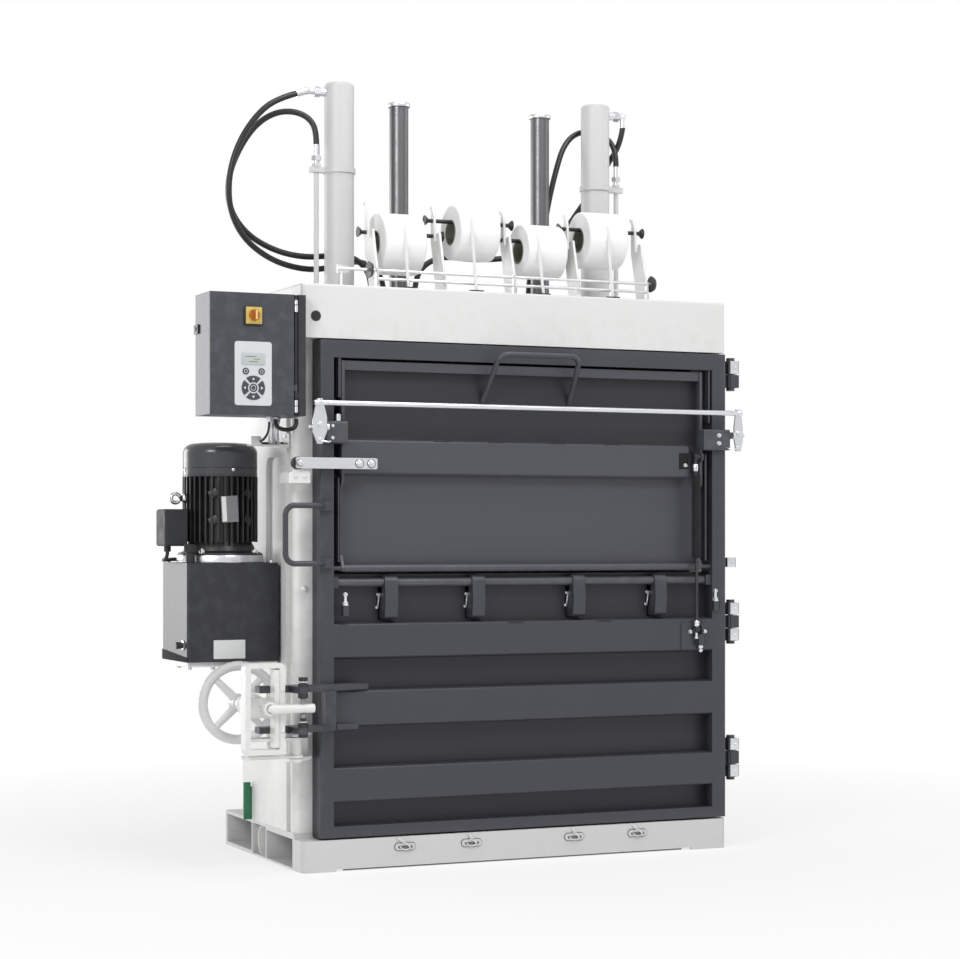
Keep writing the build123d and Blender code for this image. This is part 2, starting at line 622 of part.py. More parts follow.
with BuildPart() as door_frame:
    with BuildSketch(front_plane(DOOR_BACK)) as ring:
        with BuildLine():
            Polyline((DOOR_LEFT, DOOR_BOTTOM), (DOOR_RIGHT, DOOR_BOTTOM), (DOOR_RIGHT, DOOR_TOP),
                     (DOOR_LEFT, DOOR_TOP), close=True)
        make_face()
        with BuildLine():
            Polyline((POST_LEFT, 127), (POST_RIGHT, 127), (POST_RIGHT, OPENING_TOP),
                     (POST_LEFT, OPENING_TOP), close=True)
        make_face(mode=Mode.SUBTRACT)
    extrude(amount=DOOR_BACK - FRONT_Y)
    fillet(door_frame.edges().filter_by(Axis.Z).group_by(Axis.Y)[0].group_by(Axis.X)[0], radius=6)
    fillet(door_frame.edges().filter_by(Axis.Z).group_by(Axis.Y)[0].group_by(Axis.X)[-1], radius=6)
    block(POST_LEFT, POST_RIGHT, PANEL_FRONT, PANEL_FRONT + 8, 127, OPENING_BOTTOM)
    block(POST_LEFT, POST_RIGHT, PANEL_FRONT, PANEL_FRONT + 14, OPENING_BOTTOM - 12, OPENING_BOTTOM)
    for z0, z1 in RIBS:
        with BuildSketch(side_plane(POST_LEFT)) as rib:
            with BuildLine():
                Polyline((PANEL_FRONT, z0 - 6), (PANEL_FRONT, z1 + 6), (FRONT_Y + 3, z1), (FRONT_Y, z1 - 3),
                         (FRONT_Y, z0 + 3), (FRONT_Y + 3, z0), close=True)
            make_face()
        extrude(rib.sketch, amount=POST_RIGHT - POST_LEFT)
    for x in CLAW_X:
        block(x - CLAW_W / 2 - 5, x + CLAW_W / 2 + 5, -302, -290, 712, 806, Mode.SUBTRACT)
    for z0, z1 in DOOR_KNUCKLES:
        block(DOOR_RIGHT, HINGE_X, HINGE_Y - 5, HINGE_Y + 5, z0, z1)
        block(HINGE_X - KNUCKLE_HALF, HINGE_X + KNUCKLE_HALF, HINGE_Y - KNUCKLE_HALF,
              HINGE_Y + KNUCKLE_HALF, z0, z1)
        rod((HINGE_X, HINGE_Y, z0 - 1), (0, 0, 1), PIN_R + 0.05, z1 - z0 + 2, Mode.SUBTRACT)
    for post, flange in ((POST_LEFT, -561), (POST_RIGHT, 604)):
        block(min(post, post - flange * 0.03), max(post, post - flange * 0.03), -342, PANEL_FRONT, 806, 837)
        rod((post, FLAP_Y, FLAP_Z), (-post, 0, 0), 7, abs(post - flange))
    block(532, 618, FRONT_Y - 4, FRONT_Y, 610, 690)
    with BuildSketch(side_plane(590)) as cheek:
        with BuildLine():
            Polyline((FRONT_Y, 640), (FRONT_Y, 690), (-368, 686))
            ThreePointArc((-368, 686), (-381, 671), (-368, 656))
            Line((-368, 656), (FRONT_Y, 640))
        make_face()
    extrude(cheek.sketch, amount=4)
    rod((590, GAS_Y, GAS_LOW_Z), (-1, 0, 0), 5, 22)
save(door_frame.part, "door_frame")

with BuildPart() as hinge_leaves:
    for z0, z1 in HINGE_ZONES:
        block(HALF_W, HALF_W + 26, -272, -256, z0, z1)
    for z0, z1 in FRAME_KNUCKLES:
        with BuildSketch(Plane.XY.offset(z0)) as arm:
            with BuildLine():
                Polyline((HALF_W + 20, -272), (HALF_W + 26, -256), (HINGE_X + 12, HINGE_Y + 10),
                         (HINGE_X - 8, HINGE_Y + 10), close=True)
            make_face()
        extrude(arm.sketch, amount=z1 - z0)
        block(HINGE_X - KNUCKLE_HALF, HINGE_X + KNUCKLE_HALF, HINGE_Y - KNUCKLE_HALF,
              HINGE_Y + KNUCKLE_HALF, z0, z1)
        rod((HINGE_X, HINGE_Y, z0 - 1), (0, 0, 1), PIN_R + 0.05, z1 - z0 + 2, Mode.SUBTRACT)
    block(HALF_W, HALF_W + 60, -276, -256, 860, 888)
save(hinge_leaves.part, "hinge_leaves")

with BuildPart() as hinge_pins:
    for z0, z1 in HINGE_ZONES:
        rod((HINGE_X, HINGE_Y, z0 - 1), (0, 0, 1), PIN_R, z1 - z0 + 2)
        rod((HINGE_X, HINGE_Y, z1), (0, 0, 1), 13, 9)
        rod((HINGE_X, HINGE_Y, z0), (0, 0, -1), 13, 9)
save(hinge_pins.part, "hinge_pins")

# Bent tube handle on the door's free side
with BuildPart() as door_handle:
    tube([(-618, FRONT_Y, 1040), (-650, -382, 1040), (-748, -382, 1040), (-748, -382, 876),
          (-650, -382, 876), (-618, FRONT_Y, 876)], 28, 8, (-1, -1, 0))
    block(-640, -600, FRONT_Y - 14, FRONT_Y, 1026, 1054)
    block(-640, -600, FRONT_Y - 14, FRONT_Y, 862, 890)
    block(-660, -580, FRONT_Y, FRONT_Y + 30, 850, 1060, Mode.SUBTRACT)
save(door_handle.part, "door_handle")

# Two lock arms: flat plates across the door's front, lobed where the clamp bolts stand
BOLT_Y = -456
ARM_ZONES = ((403, 421), (516, 535))
ARM_END_X = -764
with BuildPart() as lock_arms:
    for (z0, z1), tip_x in zip(ARM_ZONES, (-556, -517)):
        with BuildSketch(Plane.XY.offset(z0)) as plate:
            with BuildLine():
                Polyline((tip_x, FRONT_Y), (ARM_END_X, -355), (ARM_END_X, -391), (-742, -394), (-735, BOLT_Y))
                ThreePointArc((-735, BOLT_Y), (LOCK_PIN_X, BOLT_Y - 13), (-709, BOLT_Y))
                Polyline((-709, BOLT_Y), (-690, -404), (tip_x - 40, -366), (tip_x, FRONT_Y))
            make_face()
            with Locations((LOCK_PIN_X, BOLT_Y)):
                Circle(8.5, mode=Mode.SUBTRACT)
        extrude(plate.sketch, amount=z1 - z0)
    block(-632, -600, -392, FRONT_Y, ARM_ZONES[0][1], ARM_ZONES[1][0])
save(lock_arms.part, "lock_arms")

# Clamp bolts above and below the hook, and the flap's stop bolts
with BuildPart() as door_bolts:
    rod((LOCK_PIN_X, BOLT_Y, LOCK_Z + 14.5), (0, 0, 1), 8, 62)
    hexagon((LOCK_PIN_X, BOLT_Y, 551.5), (0, 0, 1), 24, 10)
    hexagon((LOCK_PIN_X, BOLT_Y, 535), (0, 0, 1), 26, 9)
    hexagon((LOCK_PIN_X, BOLT_Y, 504), (0, 0, 1), 26, 12)
    rod((LOCK_PIN_X, BOLT_Y, 403), (0, 0, 1), 8, LOCK_Z - 14.5 - 403)
    hexagon((LOCK_PIN_X, BOLT_Y, 394), (0, 0, 1), 24, 9)
    hexagon((LOCK_PIN_X, BOLT_Y, 421), (0, 0, 1), 26, 12)
save(door_bolts.part, "door_bolts")

# Flat arm bolted to the flap's middle rib, with a roller that stands over a ramp on the column
ARM_Z = 1159.5
ARM_X0 = -717.5
ARM_X1 = -473.5
ROLLER_X = ARM_X0 + 11
with BuildPart() as flap_arm:
    with BuildSketch(front_plane(-380)) as bar:
        with Locations(((ARM_X0 + ARM_X1) / 2, ARM_Z)):
            RectangleRounded(ARM_X1 - ARM_X0, 31, 4)
    extrude(bar.sketch, amount=8)
    block(-545, -475, -380, -345, ARM_Z - 12, ARM_Z + 12)
    for x in (-528, -492):
        hexagon((x, -388, ARM_Z), (0, -1, 0), 17, 7)
    rod((ROLLER_X, -388, ARM_Z), (0, 1, 0), 6, 34)
    hexagon((ROLLER_X, -388, ARM_Z), (0, -1, 0), 17, 7)
save(flap_arm.part, "flap_arm")

with BuildPart() as guide_roller:
    rod((ROLLER_X, -378, ARM_Z), (0, 1, 0), 18, 22)
    rod((ROLLER_X, -379, ARM_Z), (0, 1, 0), 6.05, 24, Mode.SUBTRACT)
    fillet(guide_roller.edges().filter_by(GeomType.CIRCLE).sort_by(SortBy.RADIUS)[-2:], radius=3)
save(guide_roller.part, "guide_roller")

# Retaining claws: bent bars on one shaft, their feet reaching through the door's slots
with BuildPart() as claw_shaft:
    rod((-573.5, SHAFT_Y, SHAFT_Z), (1, 0, 0), 12.5, 573.5 + 623)
save(claw_shaft.part, "claw_shaft")

for number, x in enumerate(CLAW_X, 1):
    with BuildPart() as claw:
        with BuildSketch(side_plane(x - CLAW_W / 2)) as bar:
            with BuildLine():
                Polyline((-344, SHAFT_Z), (-348, 768), (-342, 722), (-334, 715), (-300, 714), (-277, 724),
                         (-277, 730), (-314, 786), (-312, SHAFT_Z), (-344, SHAFT_Z))
            make_face()
            with Locations((SHAFT_Y, SHAFT_Z)):
                Circle(19.5)
                Circle(12.58, mode=Mode.SUBTRACT)
        extrude(amount=CLAW_W)
        fillet(claw.faces().filter_by(Axis.X).edges().filter_by(GeomType.LINE), radius=2)
    save(claw.part, f"retaining_claw_{number}")

# Loading flap: folded sheet with rails, stepped side flanges, hinge barrel and bail bosses
FLAP_LEFT = -557
FLAP_RIGHT = 600
FLANGE_T = 9
FLAP_TOP = 1455
BOSS_Y0 = -372
BOSS_Y1 = -353
BAIL_Y = -362
BAIL_Z = 1262
BAR_Y = -384
BAR_Z = 1330
with BuildPart() as loading_flap:
    block(FLAP_LEFT, FLAP_RIGHT, -310, -304, FLAP_Z - 4, FLAP_TOP)
    block(FLAP_LEFT, FLAP_RIGHT, FLAP_Y, -306, FLAP_Z - 4, FLAP_Z + 8)
    rod((FLAP_LEFT, FLAP_Y, FLAP_Z), (1, 0, 0), 11, FLAP_RIGHT - FLAP_LEFT)
    block(FLAP_LEFT, FLAP_RIGHT, -340, -306, 1428, FLAP_TOP)
    with BuildSketch(side_plane(FLAP_LEFT)) as rib:
        with BuildLine():
            Polyline((-310, 1126), (-342, 1134), (-345, 1138), (-345, 1224), (-342, 1228), (-310, 1236),
                     close=True)
        make_face()
    extrude(rib.sketch, amount=561.5 - FLAP_LEFT)
    for x in (FLAP_LEFT - FLANGE_T, FLAP_RIGHT):
        with BuildSketch(side_plane(x)) as flange:
            with BuildLine():
                Polyline((-304, FLAP_Z - 4), (-304, FLAP_TOP), (-345, FLAP_TOP), (-345, 1110), (-328, 1090),
                         (-328, 900), (-346, FLAP_Z), (-340, FLAP_Z - 9), (-328, FLAP_Z - 9), close=True)
            make_face()
        extrude(flange.sketch, amount=FLANGE_T)
    for x0, x1, boss_x0, boss_x1 in ((-588, -557, -619.5, -557), (600, 638, 600, 691.5)):
        block(x0, x1, BOSS_Y1, -330, 1217, 1281)
        with BuildSketch(side_plane(boss_x0)) as boss:
            with Locations(((BOSS_Y0 + BOSS_Y1) / 2, 1249)):
                RectangleRounded(BOSS_Y1 - BOSS_Y0, 64, 8)
        extrude(boss.sketch, amount=boss_x1 - boss_x0)
    rod((-650, BAIL_Y, BAIL_Z), (1, 0, 0), 6.05, 70, Mode.SUBTRACT)
    rod((650, BAIL_Y, BAIL_Z), (1, 0, 0), 6.05, 70, Mode.SUBTRACT)
    rod((FLAP_LEFT - 20, FLAP_Y, FLAP_Z), (1, 0, 0), 7.06, 28, Mode.SUBTRACT)
    rod((FLAP_RIGHT - 8, FLAP_Y, FLAP_Z), (1, 0, 0), 7.06, 28, Mode.SUBTRACT)
    with BuildSketch(side_plane(590)) as cheek:
        with BuildLine():
            Polyline((-310, 1150), (-310, 1214), (-368, 1210))
            ThreePointArc((-368, 1210), (-381, GAS_HIGH_Z), (-368, 1180))
            Line((-368, 1180), (-310, 1150))
        make_face()
    extrude(cheek.sketch, amount=4)
    rod((590, GAS_Y, GAS_HIGH_Z), (-1, 0, 0), 5, 6)
save(loading_flap.part, "loading_flap")

with BuildPart() as flap_handle:
    tube([(-112, -310, 1349), (-99.5, -410, 1483), (160.5, -410, 1483), (173, -310, 1349)], 34, 8,
         (12.5, -100, 134))
    block(-140, 200, -310, -260, 1320, 1380, Mode.SUBTRACT)
save(flap_handle.part, "flap_handle")

# Bail: cross bar on two zinc levers that pivot on the flap's bosses
with BuildPart() as bail_bar:
    rod((-664, BAR_Y, BAR_Z), (1, 0, 0), 8, 664 + 722)
    for side, near, far in ((-1, -626, -668), (1, 698, 728)):
        with BuildSketch(front_plane(BAR_Y + 3)) as lever:
            with BuildLine():
                Polyline((near, 1250), (near, 1290), ((near + far) / 2 - side * 8, 1342),
                         ((near + far) / 2 + side * 8, 1342), (far, 1286), (far, 1246),
                         ((near + far) / 2 + side * 8, 1214), ((near + far) / 2 - side * 8, 1214), close=True)
            make_face()
        extrude(lever.sketch, amount=6)
        tab_x = min(near, near - side * 6)
        with BuildSketch(side_plane(tab_x)) as tab:
            with Locations(((BAIL_Y + BAR_Y) / 2, BAIL_Z)):
                SlotCenterToCenter(BAIL_Y - BAR_Y, 20)
        extrude(tab.sketch, amount=6)
        rod((near, BAIL_Y, BAIL_Z), (-side, 0, 0), 6, 30)
save(bail_bar.part, "bail_bar")

# Gas spring that balances the flap
with BuildPart() as gas_spring_rod:
    with BuildSketch(side_plane(570)) as eye:
        with Locations((GAS_Y, GAS_LOW_Z)):
            Circle(10)
            Circle(5.06, mode=Mode.SUBTRACT)
    extrude(amount=14)
    rod((GAS_X, GAS_Y, GAS_LOW_Z + 8), (0, 0, 1), 7, 14)
    rod((GAS_X, GAS_Y, GAS_LOW_Z + 8), (0, 0, 1), 5, 240)
save(gas_spring_rod.part, "gas_spring_rod")

with BuildPart() as gas_spring_cylinder:
    rod((GAS_X, GAS_Y, 888), (0, 0, 1), 11, 246)
    fillet(gas_spring_cylinder.edges(), radius=2)
    rod((GAS_X, GAS_Y, 887), (0, 0, 1), 5.5, 234, Mode.SUBTRACT)
    rod((GAS_X - 4, GAS_Y, 1130), (0, 0, 1), 6, 58)
    with BuildSketch(side_plane(566)) as eye:
        with Locations((GAS_Y, GAS_HIGH_Z)):
            Circle(10)
    extrude(eye.sketch, amount=15)
save(gas_spring_cylinder.part, "gas_spring_cylinder")

# Brackets on the left column: the ramp under the flap arm's roller, and the fork that holds the lock's hinge pin
RAMP_TOP_Z = 1138
with BuildPart() as column_brackets:
    with BuildSketch(front_plane(-300)) as ramp:
        with BuildLine():
            Polyline((-736, 1103), (-672, 1103), (-672, RAMP_TOP_Z), (-722, RAMP_TOP_Z), (-736, 1130), close=True)
        make_face()
    extrude(ramp.sketch, amount=76)
    block(-706, -672, -300, COLUMN_FRONT, 1103, RAMP_TOP_Z)
    for z0, z1 in ((321, 330), (392, 400)):
        with BuildSketch(Plane.XY.offset(z0)) as cheek:
            with BuildLine():
                Polyline((-650, COLUMN_FRONT), (-650, -330), (-702, LOCK_PIN_Y - 6))
                ThreePointArc((-702, LOCK_PIN_Y - 6), (LOCK_PIN_X, LOCK_PIN_Y - 23), (-742, LOCK_PIN_Y - 6))
                Polyline((-742, LOCK_PIN_Y - 6), (-742, -350), (-686, COLUMN_FRONT), (-650, COLUMN_FRONT))
            make_face()
        extrude(cheek.sketch, amount=z1 - z0)
    block(-676, -656, -312, COLUMN_FRONT, 330, 392)
    rod((LOCK_PIN_X, LOCK_PIN_Y, 330), (0, 0, 1), 8, 62)
save(column_brackets.part, "column_brackets")

# Swinging lock frame: flat loop, cross plate, conical spindle sleeve and hinged channel arm
LOOP = (-883.5, -768.5, 347, 602)
LOOP_T = 15
SLEEVE_R = 12.6
with BuildPart() as lock_frame:
    with BuildSketch(front_plane(-398)) as band:
        with Locations(((LOOP[0] + LOOP[1]) / 2, (LOOP[2] + LOOP[3]) / 2)):
            RectangleRounded(LOOP[1] - LOOP[0], LOOP[3] - LOOP[2], 16)
            RectangleRounded(LOOP[1] - LOOP[0] - 2 * LOOP_T, LOOP[3] - LOOP[2] - 2 * LOOP_T, 5,
                             mode=Mode.SUBTRACT)
        with Locations((LOOP[1] - 23, (LOOP[2] + LOOP[3]) / 2)):
            Rectangle(14, LOOP[3] - LOOP[2] - 2 * LOOP_T - 8)
    extrude(amount=41)
    block(LOOP[0], LOOP[1], -398, -386, 447, 503)
    with Locations(Plane(origin=(LOCK_X, -386, LOCK_Z), z_dir=(0, 1, 0))):
        Cone(21, 38, 120, align=BASE)
    rod((LOCK_X, -266, LOCK_Z), (0, 1, 0), 24, 60)
    for z0, z1 in ((332, 340), (382, 390)):
        with BuildSketch(Plane.XY.offset(z0)) as cheek:
            with BuildLine():
                Polyline((-850, -352), (-735, -362))
                ThreePointArc((-735, -362), (-699, LOCK_PIN_Y), (-735, -408))
                Polyline((-735, -408), (-862, -410))
                ThreePointArc((-862, -410), (-876, -376), (-850, -352))
            make_face()
        extrude(cheek.sketch, amount=z1 - z0)
    block(-868, -858, -406, -372, 340, 382)
    rod((LOCK_PIN_X, LOCK_PIN_Y, 331), (0, 0, 1), 17, 60)
    rod((LOCK_PIN_X, LOCK_PIN_Y, 320), (0, 0, 1), 8.06, 80, Mode.SUBTRACT)
    rod((LOCK_X, -450, LOCK_Z), (0, 1, 0), SLEEVE_R, 260, Mode.SUBTRACT)
save(lock_frame.part, "lock_frame")

# Jaws welded behind the loop, in line with the door's lock arms
with BuildPart() as lock_jaws:
    for z0, z1 in ARM_ZONES:
        block(-830, LOOP[1] - 4, -398, -358, z0, z1)
save(lock_jaws.part, "lock_jaws")

# Hook: round bar turned through a right angle, its long leg the threaded spindle
with BuildPart() as lock_hook:
    with BuildLine() as route:
        Polyline((-690, BOLT_Y, LOCK_Z), (LOCK_X + 22, BOLT_Y, LOCK_Z))
        RadiusArc((LOCK_X + 22, BOLT_Y, LOCK_Z), (LOCK_X, BOLT_Y + 22, LOCK_Z), 22)
        Line((LOCK_X, BOLT_Y + 22, LOCK_Z), (LOCK_X, -132, LOCK_Z))
    with BuildSketch(Plane(origin=(-690, BOLT_Y, LOCK_Z), z_dir=(-1, 0, 0))):
        Circle(12.5)
    sweep(path=route.wires()[0])
save(lock_hook.part, "lock_hook")

with BuildPart() as handwheel:
    with Locations(Plane(origin=(LOCK_X, WHEEL_Y, LOCK_Z), z_dir=(0, 1, 0))):
        Torus(WHEEL_R - 11, 11)
    rod((LOCK_X, WHEEL_Y - 34, LOCK_Z), (0, 1, 0), 26, 48)
    rod((LOCK_X, WHEEL_Y - 40, LOCK_Z), (0, 1, 0), 18, 8)
    for number in range(4):
        angle = radians(45 + 90 * number)
        outward = (cos(angle), 0, sin(angle))
        start = (LOCK_X + 20 * cos(angle), WHEEL_Y - 8, LOCK_Z + 20 * sin(angle))
        with BuildSketch(Plane(origin=start, x_dir=(0, 1, 0), z_dir=outward)) as inner_end:
            Ellipse(8, 13)
        reach = WHEEL_R - 34
        tip = (start[0] + reach * outward[0], WHEEL_Y, start[2] + reach * outward[2])
        with BuildSketch(Plane(origin=tip, x_dir=(0, 1, 0), z_dir=outward)) as outer_end:
            Ellipse(7, 9)
        loft([inner_end.sketch.faces()[0], outer_end.sketch.faces()[0]])
    rod((LOCK_X, WHEEL_Y - 60, LOCK_Z), (0, 1, 0), SLEEVE_R, 120, Mode.SUBTRACT)
save(handwheel.part, "handwheel")

# Ejector lever on the left rear of the body
with BuildPart() as ejector_lever:
    with BuildSketch(side_plane(-650)) as plate:
        with BuildLine():
            Polyline((100, LEVER_Z), (100, 112), (106, 108), (168, 108), (174, 114), (174, LEVER_Z + 8))
            ThreePointArc((174, LEVER_Z + 8), (170, 206), (166, LEVER_Z + 14))
            Line((166, LEVER_Z + 14), (LEVER_Y, LEVER_Z + 14))
            ThreePointArc((LEVER_Y, LEVER_Z + 14), (LEVER_Y - 9.9, LEVER_Z + 9.9), (100, LEVER_Z))
        make_face()
        with Locations((LEVER_Y, LEVER_Z)):
            Circle(6.05, mode=Mode.SUBTRACT)
    extrude(amount=10)
save(ejector_lever.part, "ejector_lever")
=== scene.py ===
import bpy
import bmesh
import json
from math import acos, atan2, cos, pi, radians, sin
from mathutils import Matrix, Vector


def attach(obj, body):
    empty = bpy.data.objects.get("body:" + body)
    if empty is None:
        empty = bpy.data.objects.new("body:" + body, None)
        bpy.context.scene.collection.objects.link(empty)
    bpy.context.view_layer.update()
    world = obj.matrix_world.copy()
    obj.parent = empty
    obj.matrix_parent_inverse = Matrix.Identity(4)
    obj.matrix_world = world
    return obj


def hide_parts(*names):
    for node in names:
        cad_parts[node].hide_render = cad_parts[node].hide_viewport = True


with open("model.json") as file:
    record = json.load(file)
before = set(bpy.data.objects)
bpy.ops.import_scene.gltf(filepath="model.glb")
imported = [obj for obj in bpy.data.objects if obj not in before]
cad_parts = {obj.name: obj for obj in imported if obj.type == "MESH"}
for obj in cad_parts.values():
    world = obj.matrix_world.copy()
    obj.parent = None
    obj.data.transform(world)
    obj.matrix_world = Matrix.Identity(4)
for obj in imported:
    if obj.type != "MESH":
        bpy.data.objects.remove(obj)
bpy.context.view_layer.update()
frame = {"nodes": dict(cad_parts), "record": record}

MM = 0.001
UP, DOWN, FRONT, LEFT, RIGHT = (0, 0, 1), (0, 0, -1), (0, -1, 0), (-1, 0, 0), (1, 0, 0)


# Shader helpers

def feed(tree, socket, value):
    """Links a socket to another one, or sets it to a number or a colour."""
    if isinstance(value, bpy.types.NodeSocket):
        tree.links.new(value, socket)
    elif socket.type == "RGBA":
        socket.default_value = (*value, 1)
    else:
        socket.default_value = value


def add_node(tree, kind, inputs, **properties):
    """A shader node with its properties and inputs set."""
    node = tree.nodes.new("ShaderNode" + kind)
    for label, value in properties.items():
        setattr(node, label, value)
    for label, value in inputs.items():
        feed(tree, node.inputs[label], value)
    return node


def noise(tree, vector, scale, detail=4, roughness=0.55):
    inputs = {"Vector": vector, "Scale": scale, "Detail": detail, "Roughness": roughness}
    return add_node(tree, "TexNoise", inputs).outputs["Fac"]


def remap(tree, value, low, high, to_low, to_high, **properties):
    inputs = {"Value": value, "From Min": low, "From Max": high, "To Min": to_low, "To Max": to_high}
    return add_node(tree, "MapRange", inputs, **properties).outputs["Result"]


def math_node(tree, operation, first, second):
    return add_node(tree, "Math", {0: first, 1: second}, operation=operation).outputs[0]


def mix_colour(tree, factor, first, second, blend="MIX"):
    return add_node(tree, "Mix", {0: factor, 6: first, 7: second}, data_type="RGBA", blend_type=blend).outputs[2]


def coordinates(tree, stretch=(1, 1, 1)):
    """Object coordinates in metres, stretched where a pattern runs one way."""
    place = add_node(tree, "TexCoord", {}).outputs["Object"]
    return add_node(tree, "Mapping", {"Vector": place, "Scale": stretch}).outputs["Vector"]


def new_group(name, inputs, outputs=("Colour", "Roughness", "Height")):
    """An empty shader group with its sockets; a tone makes a colour socket."""
    tree = bpy.data.node_groups.new(name, "ShaderNodeTree")
    for label, value in inputs.items():
        is_tone = isinstance(value, tuple)
        socket = tree.interface.new_socket(label, in_out="INPUT",
                                           socket_type="NodeSocketColor" if is_tone else "NodeSocketFloat")
        socket.default_value = (*value, 1) if is_tone else value
    for label in outputs:
        tree.interface.new_socket(label, in_out="OUTPUT",
                                  socket_type="NodeSocketColor" if label == "Colour" else "NodeSocketFloat")
    return tree, tree.nodes.new("NodeGroupInput").outputs, tree.nodes.new("NodeGroupOutput").inputs


def finish_group(tree, given, gives, tone, uneven, height):
    """Leads a finish's tone, uneven roughness and height out of its group."""
    feed(tree, gives["Colour"], tone)
    feed(tree, gives["Roughness"], math_node(tree, "ADD", given["Roughness"], uneven))
    feed(tree, gives["Height"], height)
    return tree


def build_paint_group():
    """Powder coat: faint clouding, dust near the floor, rubbed edges, and an orange-peel height."""
    tree, given, gives = new_group("powder_coat", {"Colour": (0.8, 0.8, 0.8), "Worn": (0.4, 0.4, 0.4),
                                                   "Roughness": 0.4})
    where = coordinates(tree)
    scuffs = noise(tree, where, 26, 6, 0.6)
    clouds = remap(tree, noise(tree, where, 3, 5), 0.3, 0.7, 0, 0.02)
    shade = mix_colour(tree, clouds, given["Colour"], given["Worn"])
    pointiness = add_node(tree, "NewGeometry", {}).outputs["Pointiness"]
    rubbed = math_node(tree, "MULTIPLY", remap(tree, pointiness, 0.52, 0.62, 0, 0.35),
                       remap(tree, scuffs, 0.45, 0.75, 0, 1))
    shade = mix_colour(tree, rubbed, shade, given["Worn"])
    above_floor = add_node(tree, "SeparateXYZ", {0: where}).outputs["Z"]
    dust = math_node(tree, "MULTIPLY", remap(tree, above_floor, 0, 0.12, 0.16, 0),
                     remap(tree, noise(tree, where, 160, 2), 0.35, 0.7, 0.2, 1))
    shade = mix_colour(tree, dust, shade, (0.42, 0.4, 0.37))
    return finish_group(tree, given, gives, shade, remap(tree, scuffs, 0.3, 0.75, -0.006, 0.012),
                        noise(tree, where, 700, 1.5))


def build_metal_group():
    """Plated or drawn metal: mottled tone, fine lines along one axis and a few stains."""
    tree, given, gives = new_group("plated_metal", {"Colour": (0.7, 0.7, 0.7), "Stain": (0.4, 0.4, 0.4),
                                                    "Roughness": 0.3})
    where = coordinates(tree)
    mottle = noise(tree, where, 40)
    tone = mix_colour(tree, remap(tree, mottle, 0.35, 0.7, 0, 0.16), given["Colour"], given["Stain"])
    patches = remap(tree, noise(tree, where, 9, 3), 0.5, 0.8, 0, 0.3)
    tone = mix_colour(tree, patches, tone, given["Stain"])
    return finish_group(tree, given, gives, tone, remap(tree, mottle, 0.3, 0.75, -0.03, 0.06),
                        noise(tree, coordinates(tree, (1, 1, 0.03)), 900, 2))


def build_moulding_group():
    """Moulded plastic or rubber: a fine grain with slight changes of tone."""
    tree, given, gives = new_group("moulding", {"Colour": (0.1, 0.1, 0.1), "Grain": 500, "Roughness": 0.5})
    where = coordinates(tree)
    soft = noise(tree, where, 20)
    shade = mix_colour(tree, remap(tree, soft, 0.3, 0.75, 0, 0.25), given["Colour"], (0.5, 0.5, 0.5),
                       "SOFT_LIGHT")
    return finish_group(tree, given, gives, shade, remap(tree, soft, 0.3, 0.7, -0.06, 0.08),
                        noise(tree, where, given["Grain"], 2, 0.5))


def build_painted_shade_group():
    """Painted shade: dims the coat between two depths, as in the recesses behind the ribs, and above a height."""
    tree, given, gives = new_group("recess_shade", {"Colour": (0.05, 0.05, 0.06), "Front": -0.34, "Deep": -0.31,
                                                    "Low": -0.1, "High": 0, "Amount": 0.3}, ("Colour",))
    where = add_node(tree, "SeparateXYZ", {0: coordinates(tree)}).outputs
    masks = [remap(tree, where[axis], given[near], given[far], 0, 1, interpolation_type="SMOOTHSTEP")
             for axis, near, far in (("Y", "Front", "Deep"), ("Z", "Low", "High"))]
    amount = math_node(tree, "MULTIPLY", math_node(tree, "MULTIPLY", *masks), given["Amount"])
    feed(tree, gives["Colour"], mix_colour(tree, amount, given["Colour"], (0.004, 0.004, 0.005)))
    return tree


GROUPS = {"paint": build_paint_group(), "metal": build_metal_group(), "moulding": build_moulding_group(),
          "recess": build_painted_shade_group()}


def new_material(name):
    """A Principled material, with its tree and its shader's inputs."""
    material = bpy.data.materials.new(name)
    material.use_nodes = True
    return material, material.node_tree, material.node_tree.nodes["Principled BSDF"].inputs


def finish_material(name, group, settings, bump, metallic=0, coat=0, edge=0.0006):
    """A Principled material fed by one of the groups, its edges softened in the normals."""
    material, tree, shader = new_material(name)
    shader["Metallic"].default_value = metallic
    shader["Coat Weight"].default_value = coat
    surface = add_node(tree, "Group", dict(enumerate(settings)), node_tree=GROUPS[group]).outputs
    feed(tree, shader["Base Color"], surface["Colour"])
    feed(tree, shader["Roughness"], surface["Roughness"])
    soft_edge = add_node(tree, "Bevel", {"Radius": edge}, samples=4).outputs["Normal"]
    relief = add_node(tree, "Bump", {"Strength": bump, "Distance": 0.0004, "Height": surface["Height"],
                                     "Normal": soft_edge})
    feed(tree, shader["Normal"], relief.outputs["Normal"])
    return material


def paint(name, colour, worn, roughness, bump=0.25, coat=0):
    return finish_material(name, "paint", (colour, worn, roughness), bump, coat=coat, edge=0.0015)


def paint_with_painted_shade(name, colour, worn, **depths):
    """A coat with painted shade, darker in the recesses between the ribs."""
    material = paint(name, colour, worn, 0.4)
    tree = material.node_tree
    base = tree.nodes["Principled BSDF"].inputs["Base Color"]
    shade = add_node(tree, "Group", {"Colour": base.links[0].from_socket, **depths}, node_tree=GROUPS["recess"])
    feed(tree, base, shade.outputs["Colour"])
    return material


def metal(name, colour, stain, roughness, bump=0.04):
    return finish_material(name, "metal", (colour, stain, roughness), bump, metallic=1)


def moulded(name, colour, grain, roughness, bump=0.3, coat=0):
    return finish_material(name, "moulding", (colour, grain, roughness), bump, coat=coat)


